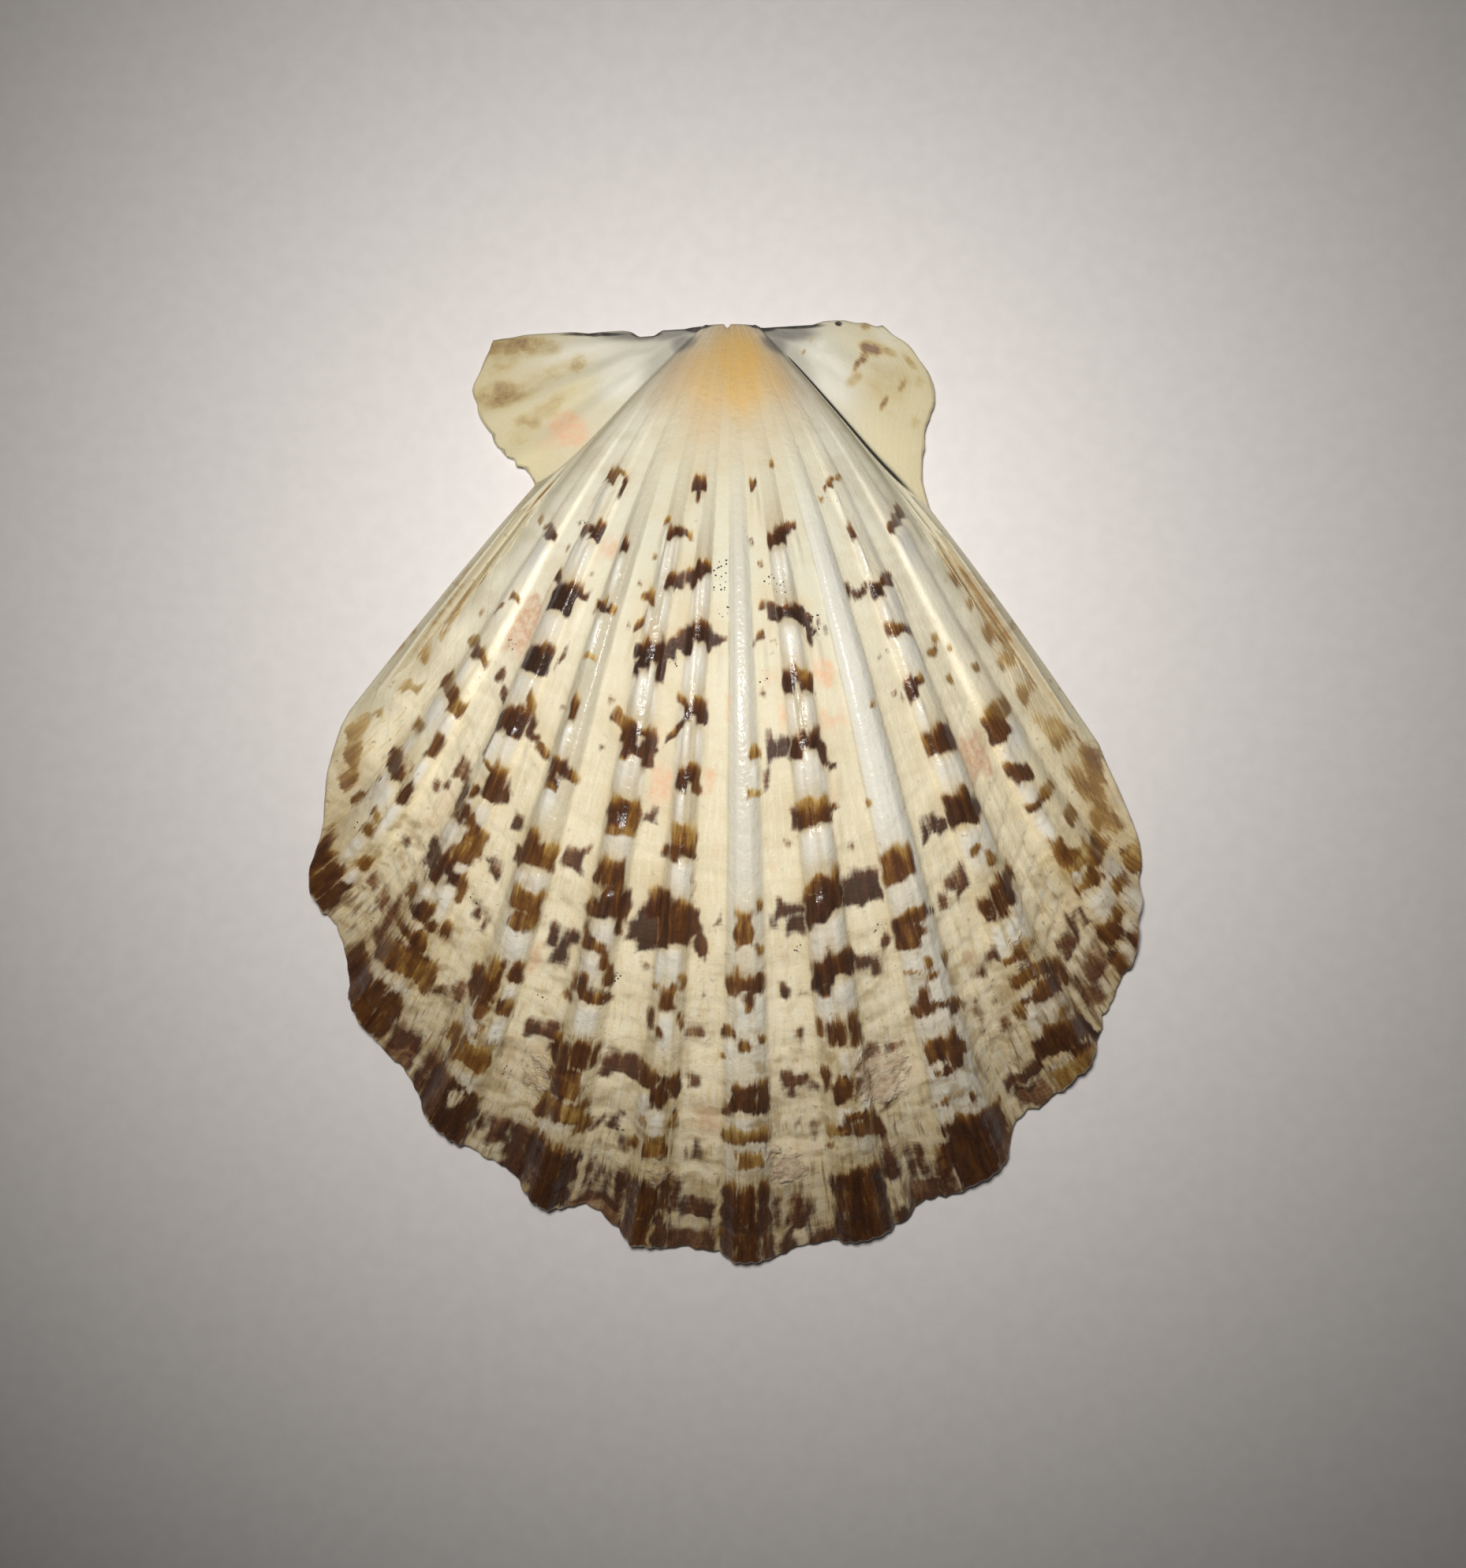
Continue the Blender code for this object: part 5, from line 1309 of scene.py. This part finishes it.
# %% [markdown]
# ## Pigment
#
# Pigment in clear shell goes from amber over red-brown to almost black as it gets deeper, so one
# ramp over depth gives all three colours. The painted cover and tone are soft hills. Lengthwise
# noise is added to both before they are cut, which frays a mark into streaks and changes its depth
# from riblet to riblet. A mark's thin edge is held to amber by taking the lesser of two depths.

# %% Purple in the hollows
PURPLE_TONES = ((0.05, "#A98B68"), (0.3, "#7A5433"), (0.5, "#532B16"), (0.72, "#3D1B0E"), (1.0, "#281009"))
PURPLE_TONE_SCALE = 0.74  # brings the deepest painted tone to the ramp's end
purple_noise = ragged * 0.7 + lined * 0.7 + broad * 1.3
purple_level = (carried["purple_tone"] + purple_noise) * PURPLE_TONE_SCALE
purple_here = carried["purple"] + broad * 0.8 + (ragged + lined) * 0.45
purple_share = add_node("MapRange", (purple_here, 0.20, 0.88, 0.0, 0.95))
base = coats(base, (purple_share, add_node("ValToRGB", (purple_level,), stops=PURPLE_TONES)))
print("purple tones:", len(PURPLE_TONES))

# %% Brown on the ribs
BROWN_TONES = (
    (0.0, "#CFC094"), (0.18, "#B5965C"), (0.34, "#957136"), (0.48, "#764E20"), (0.62, "#5B3517"),
    (0.80, "#432312"), (1.0, "#2B150F"),
)
frayed = ragged * add_node("MapRange", (age, 0.6, 0.92, 0.26, 0.85))  # later marks break into streaks
frayed = frayed + broad * add_node("MapRange", (age, 0.5, 1.0, 0.0, 1.5))
brown_here = carried["brown"] + frayed
brown_noise = ragged * 0.45 + broad * add_node("MapRange", (age, 0.3, 0.8, 0.9, 1.3))
side_strip = add_node("MapRange", (side, 0.84, 0.95))
thin_shell = side_strip * add_node("MapRange", (from_beak, 53.0, 48.0))  # paler flanks up to 50 mm out
brown_level = carried["brown_tone"] + brown_noise
brown_level = brown_level * add_node("MapRange", (age, 0.4, 0.85, 0.84, 0.70))
thin_edge = add_node("MapRange", (brown_here, 0.15, 0.7, 0.42, 1.15))
brown_level = add_node("Math", (brown_level, thin_edge), operation="MINIMUM")
brown_level = brown_level * add_node("MapRange", (thin_shell, 0.0, 1.0, 1.0, 0.72))
brown_share = add_node("MapRange", (brown_here, 0.16, 0.70, 0.0, 0.97))
brown_share = brown_share * add_node("MapRange", (thin_shell, 0.0, 1.0, 1.0, 0.85))
base = coats(base, (brown_share, add_node("ValToRGB", (brown_level,), stops=BROWN_TONES)))
print("brown tones:", len(BROWN_TONES))

# %% Brown on the ears, crusts, the painted crevice shadow and pin dots
EAR_TONES = ((0.1, "#C6B584"), (0.45, "#B39C66"), (0.8, "#95774A"), (1.0, "#6F4426"))
CRUST_TONES = ((0.3, "#94795F"), (0.5, "#BCA183"), (0.65, "#D6C4A9"))
ear_level = carried["ear_brown"] * add_node("MapRange", (ear_patches, 0.34, 0.66, 0.5, 1.1))
ear_level = ear_level + broad * 0.9 * carried["ear_brown"]
pin_share = add_node("MapRange", (pin_cells, 0.30, 0.18))
pin_share = pin_share * add_node("MapRange", (carried["pins"], 0.3, 0.6))
base = coats(
    base,
    (
        add_node("MapRange", (ear_level, 0.0, 0.7, 0.0, 0.8)),
        add_node("ValToRGB", (ear_level,), stops=EAR_TONES),
    ),
    (crust * 0.8, add_node("ValToRGB", (crust_noise,), stops=CRUST_TONES)),
    # painted shadow in the crevice between the disc and each ear
    (add_node("MapRange", (carried["crevice_shadow"], 0.15, 0.7)), "#26221D"),
    (pin_share, "#1C1614"),
)
print("nodes up to the pin dots:", len(tree.nodes))

# %% [markdown]
# ## The inside
#
# The photo doesn't show the inside, so it is finished as such valves usually are: white
# porcelain with faint clouds, a warm flush under the beak, a duller scar where the closing muscle
# was fixed, and brown showing through at the ends of the ribs.

# %% White inside with its flush, scar and rim
near_rim = add_node("MapRange", (margin_age, 0.84, 1.0))
rim_tone = near_rim * (rib * 0.6 + 0.25) + ragged * 0.5 * near_rim
inner_colour = coats(
    "#EDE8DC",
    (add_node("MapRange", (clouds, 0.35, 0.7, 0.0, 0.5)), "#E2D9C6"),
    (add_node("MapRange", (age, 0.42, 0.05, 0.0, 0.6)), "#D8B89E"),
    (carried["scar"] * 0.35, "#CFC6B2"),
    (add_node("MapRange", (rim_tone, 0.05, 0.9)), "#8E6A4E"),
)
base = coats(base, (inside, inner_colour))
print("nodes up to the inside:", len(tree.nodes))

# %% [markdown]
# ## Gloss and fine relief
#
# Sea-worn clear calcite is smooth, with a roughness of 0.2 to 0.3 that changes from grain to grain,
# and this gives the ribs their small broken lights. The chalky hollows are near 0.6 and the crusts
# 0.8. The index of refraction is calcite's mean of about 1.57. Wear has dulled the gloss, so the
# specular level is 0.2 where a fresh surface has 0.5, and a little light travels under the
# surface. Heights below are in millimetres, too low to be worth any geometry.

# %% Surface and shader
chalk = (1.0 - rib) * (1.0 - inside)
roughness = chalk * 0.38 + add_node("MapRange", (grain, 0.45, 0.60, 0.30, 0.18))
for least in (ear * 0.45, crust * 0.8):
    roughness = add_node("Math", (roughness, least), operation="MAXIMUM")
lines_mm = growth_lines * add_node("MapRange", (age, 0.2, 0.9, 0.005, 0.013))
lines_mm = lines_mm * off_flank * (1.0 - ear * 0.85)
pits_mm = pits * add_node("MapRange", (from_beak, 5.0, 25.0, 0.02, 0.035))
ripple_height = add_node("MapRange", (side, 0.5, 0.8, 0.07, 0.02))
ripples_mm = ripples * (ripple_height * add_node("MapRange", (rib, 0.2, 0.8, 0.3, 1.0)))
chalk_mm, crust_mm = specks * chalk * 0.022, crust_noise * crust * 0.25
height_mm = (lines_mm + pits_mm) + (chalk_mm + crust_mm) + ripples_mm
height_mm = height_mm * (1.0 - inside * 0.8)
bump = add_node("Bump", {"Strength": 1.0, "Distance": MM, "Height": height_mm})
surface = add_node("BsdfPrincipled", {
    "Base Color": base, "Roughness": roughness, "IOR": 1.57, "Specular IOR Level": 0.2, "Normal": bump,
    "Subsurface Weight": 0.22, "Subsurface Radius": (1.0, 0.8, 0.6), "Subsurface Scale": 0.7 * MM,
})
add_node("OutputMaterial", {"Surface": surface})
data.materials.append(shell)
print("nodes in the shell material:", len(tree.nodes))

# %% Hang it on the frame
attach(valve, "root")
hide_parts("valve")

# %% [markdown]
# ## Table and light
#
# The shell lies on matt white paper. One soft lamp close beside the camera, with a grid over it
# that narrows its beam, gives the bright upper middle and the fall-off to the corners. A faint
# warm light from the room keeps the shadows open.

# %% Matt white paper
PAPER_SIZE, PAPER_DROP = 1.2, 0.02 * MM
paper = bpy.data.materials.new("matt_white_paper")
paper.use_nodes = True
tree = paper.node_tree
tree.nodes.clear()
paper_place = add_node("TexCoord", give="Object")
fibres = add_node("TexNoise", {"Vector": paper_place, "Scale": 0.7 / MM, "Detail": 3.0})
paper_share = add_node("MapRange", (fibres, 0.3, 0.7))
paper_colour = coats("#DFDAD6", (paper_share, "#E3DEDA"))
paper_bump = add_node("Bump", {"Strength": 0.2, "Distance": 0.05 * MM, "Height": fibres})
sheet = add_node("BsdfPrincipled", {"Base Color": paper_colour, "Roughness": 0.85, "Normal": paper_bump})
add_node("OutputMaterial", {"Surface": sheet})

mesh = bmesh.new()
bmesh.ops.create_grid(mesh, x_segments=1, y_segments=1, size=PAPER_SIZE / 2)
floor_data = bpy.data.meshes.new("paper")
mesh.to_mesh(floor_data)
mesh.free()
floor_data.materials.append(paper)
floor = bpy.data.objects.new("paper", floor_data)
floor.location.z = -PAPER_DROP
bpy.context.scene.collection.objects.link(floor)
print("paper:", PAPER_SIZE, "m square")

# %% Lamp and room
LAMP_AT_MM, LAMP_TARGET_MM = Vector((-9, 22, 140)), Vector((1, 14.2, 0))
LAMP_SIZE, LAMP_WATTS, LAMP_SPREAD_DEGREES = 24 * MM, 0.0455, 82.5
ROOM_COLOUR, ROOM_STRENGTH = (1.0, 0.97, 0.94, 1.0), 0.038

lamp_data = bpy.data.lights.new("key", "AREA")
lamp_data.shape = "DISK"
lamp_data.size = LAMP_SIZE
lamp_data.energy = LAMP_WATTS
lamp_data.spread = math.radians(LAMP_SPREAD_DEGREES)
lamp_data.color = (1.0, 0.985, 0.975)
lamp = bpy.data.objects.new("key", lamp_data)
lamp.location = LAMP_AT_MM * MM
lamp.rotation_euler = (LAMP_TARGET_MM - LAMP_AT_MM).to_track_quat("-Z", "Y").to_euler()
bpy.context.scene.collection.objects.link(lamp)

world = bpy.data.worlds.new("room")
world.use_nodes = True
room = world.node_tree.nodes["Background"]
room.inputs["Color"].default_value = ROOM_COLOUR
room.inputs["Strength"].default_value = ROOM_STRENGTH
bpy.context.scene.world = world
bpy.context.scene.view_settings.view_transform = "Standard"
print("lamp height in mm:", round(lamp.location.z / MM))
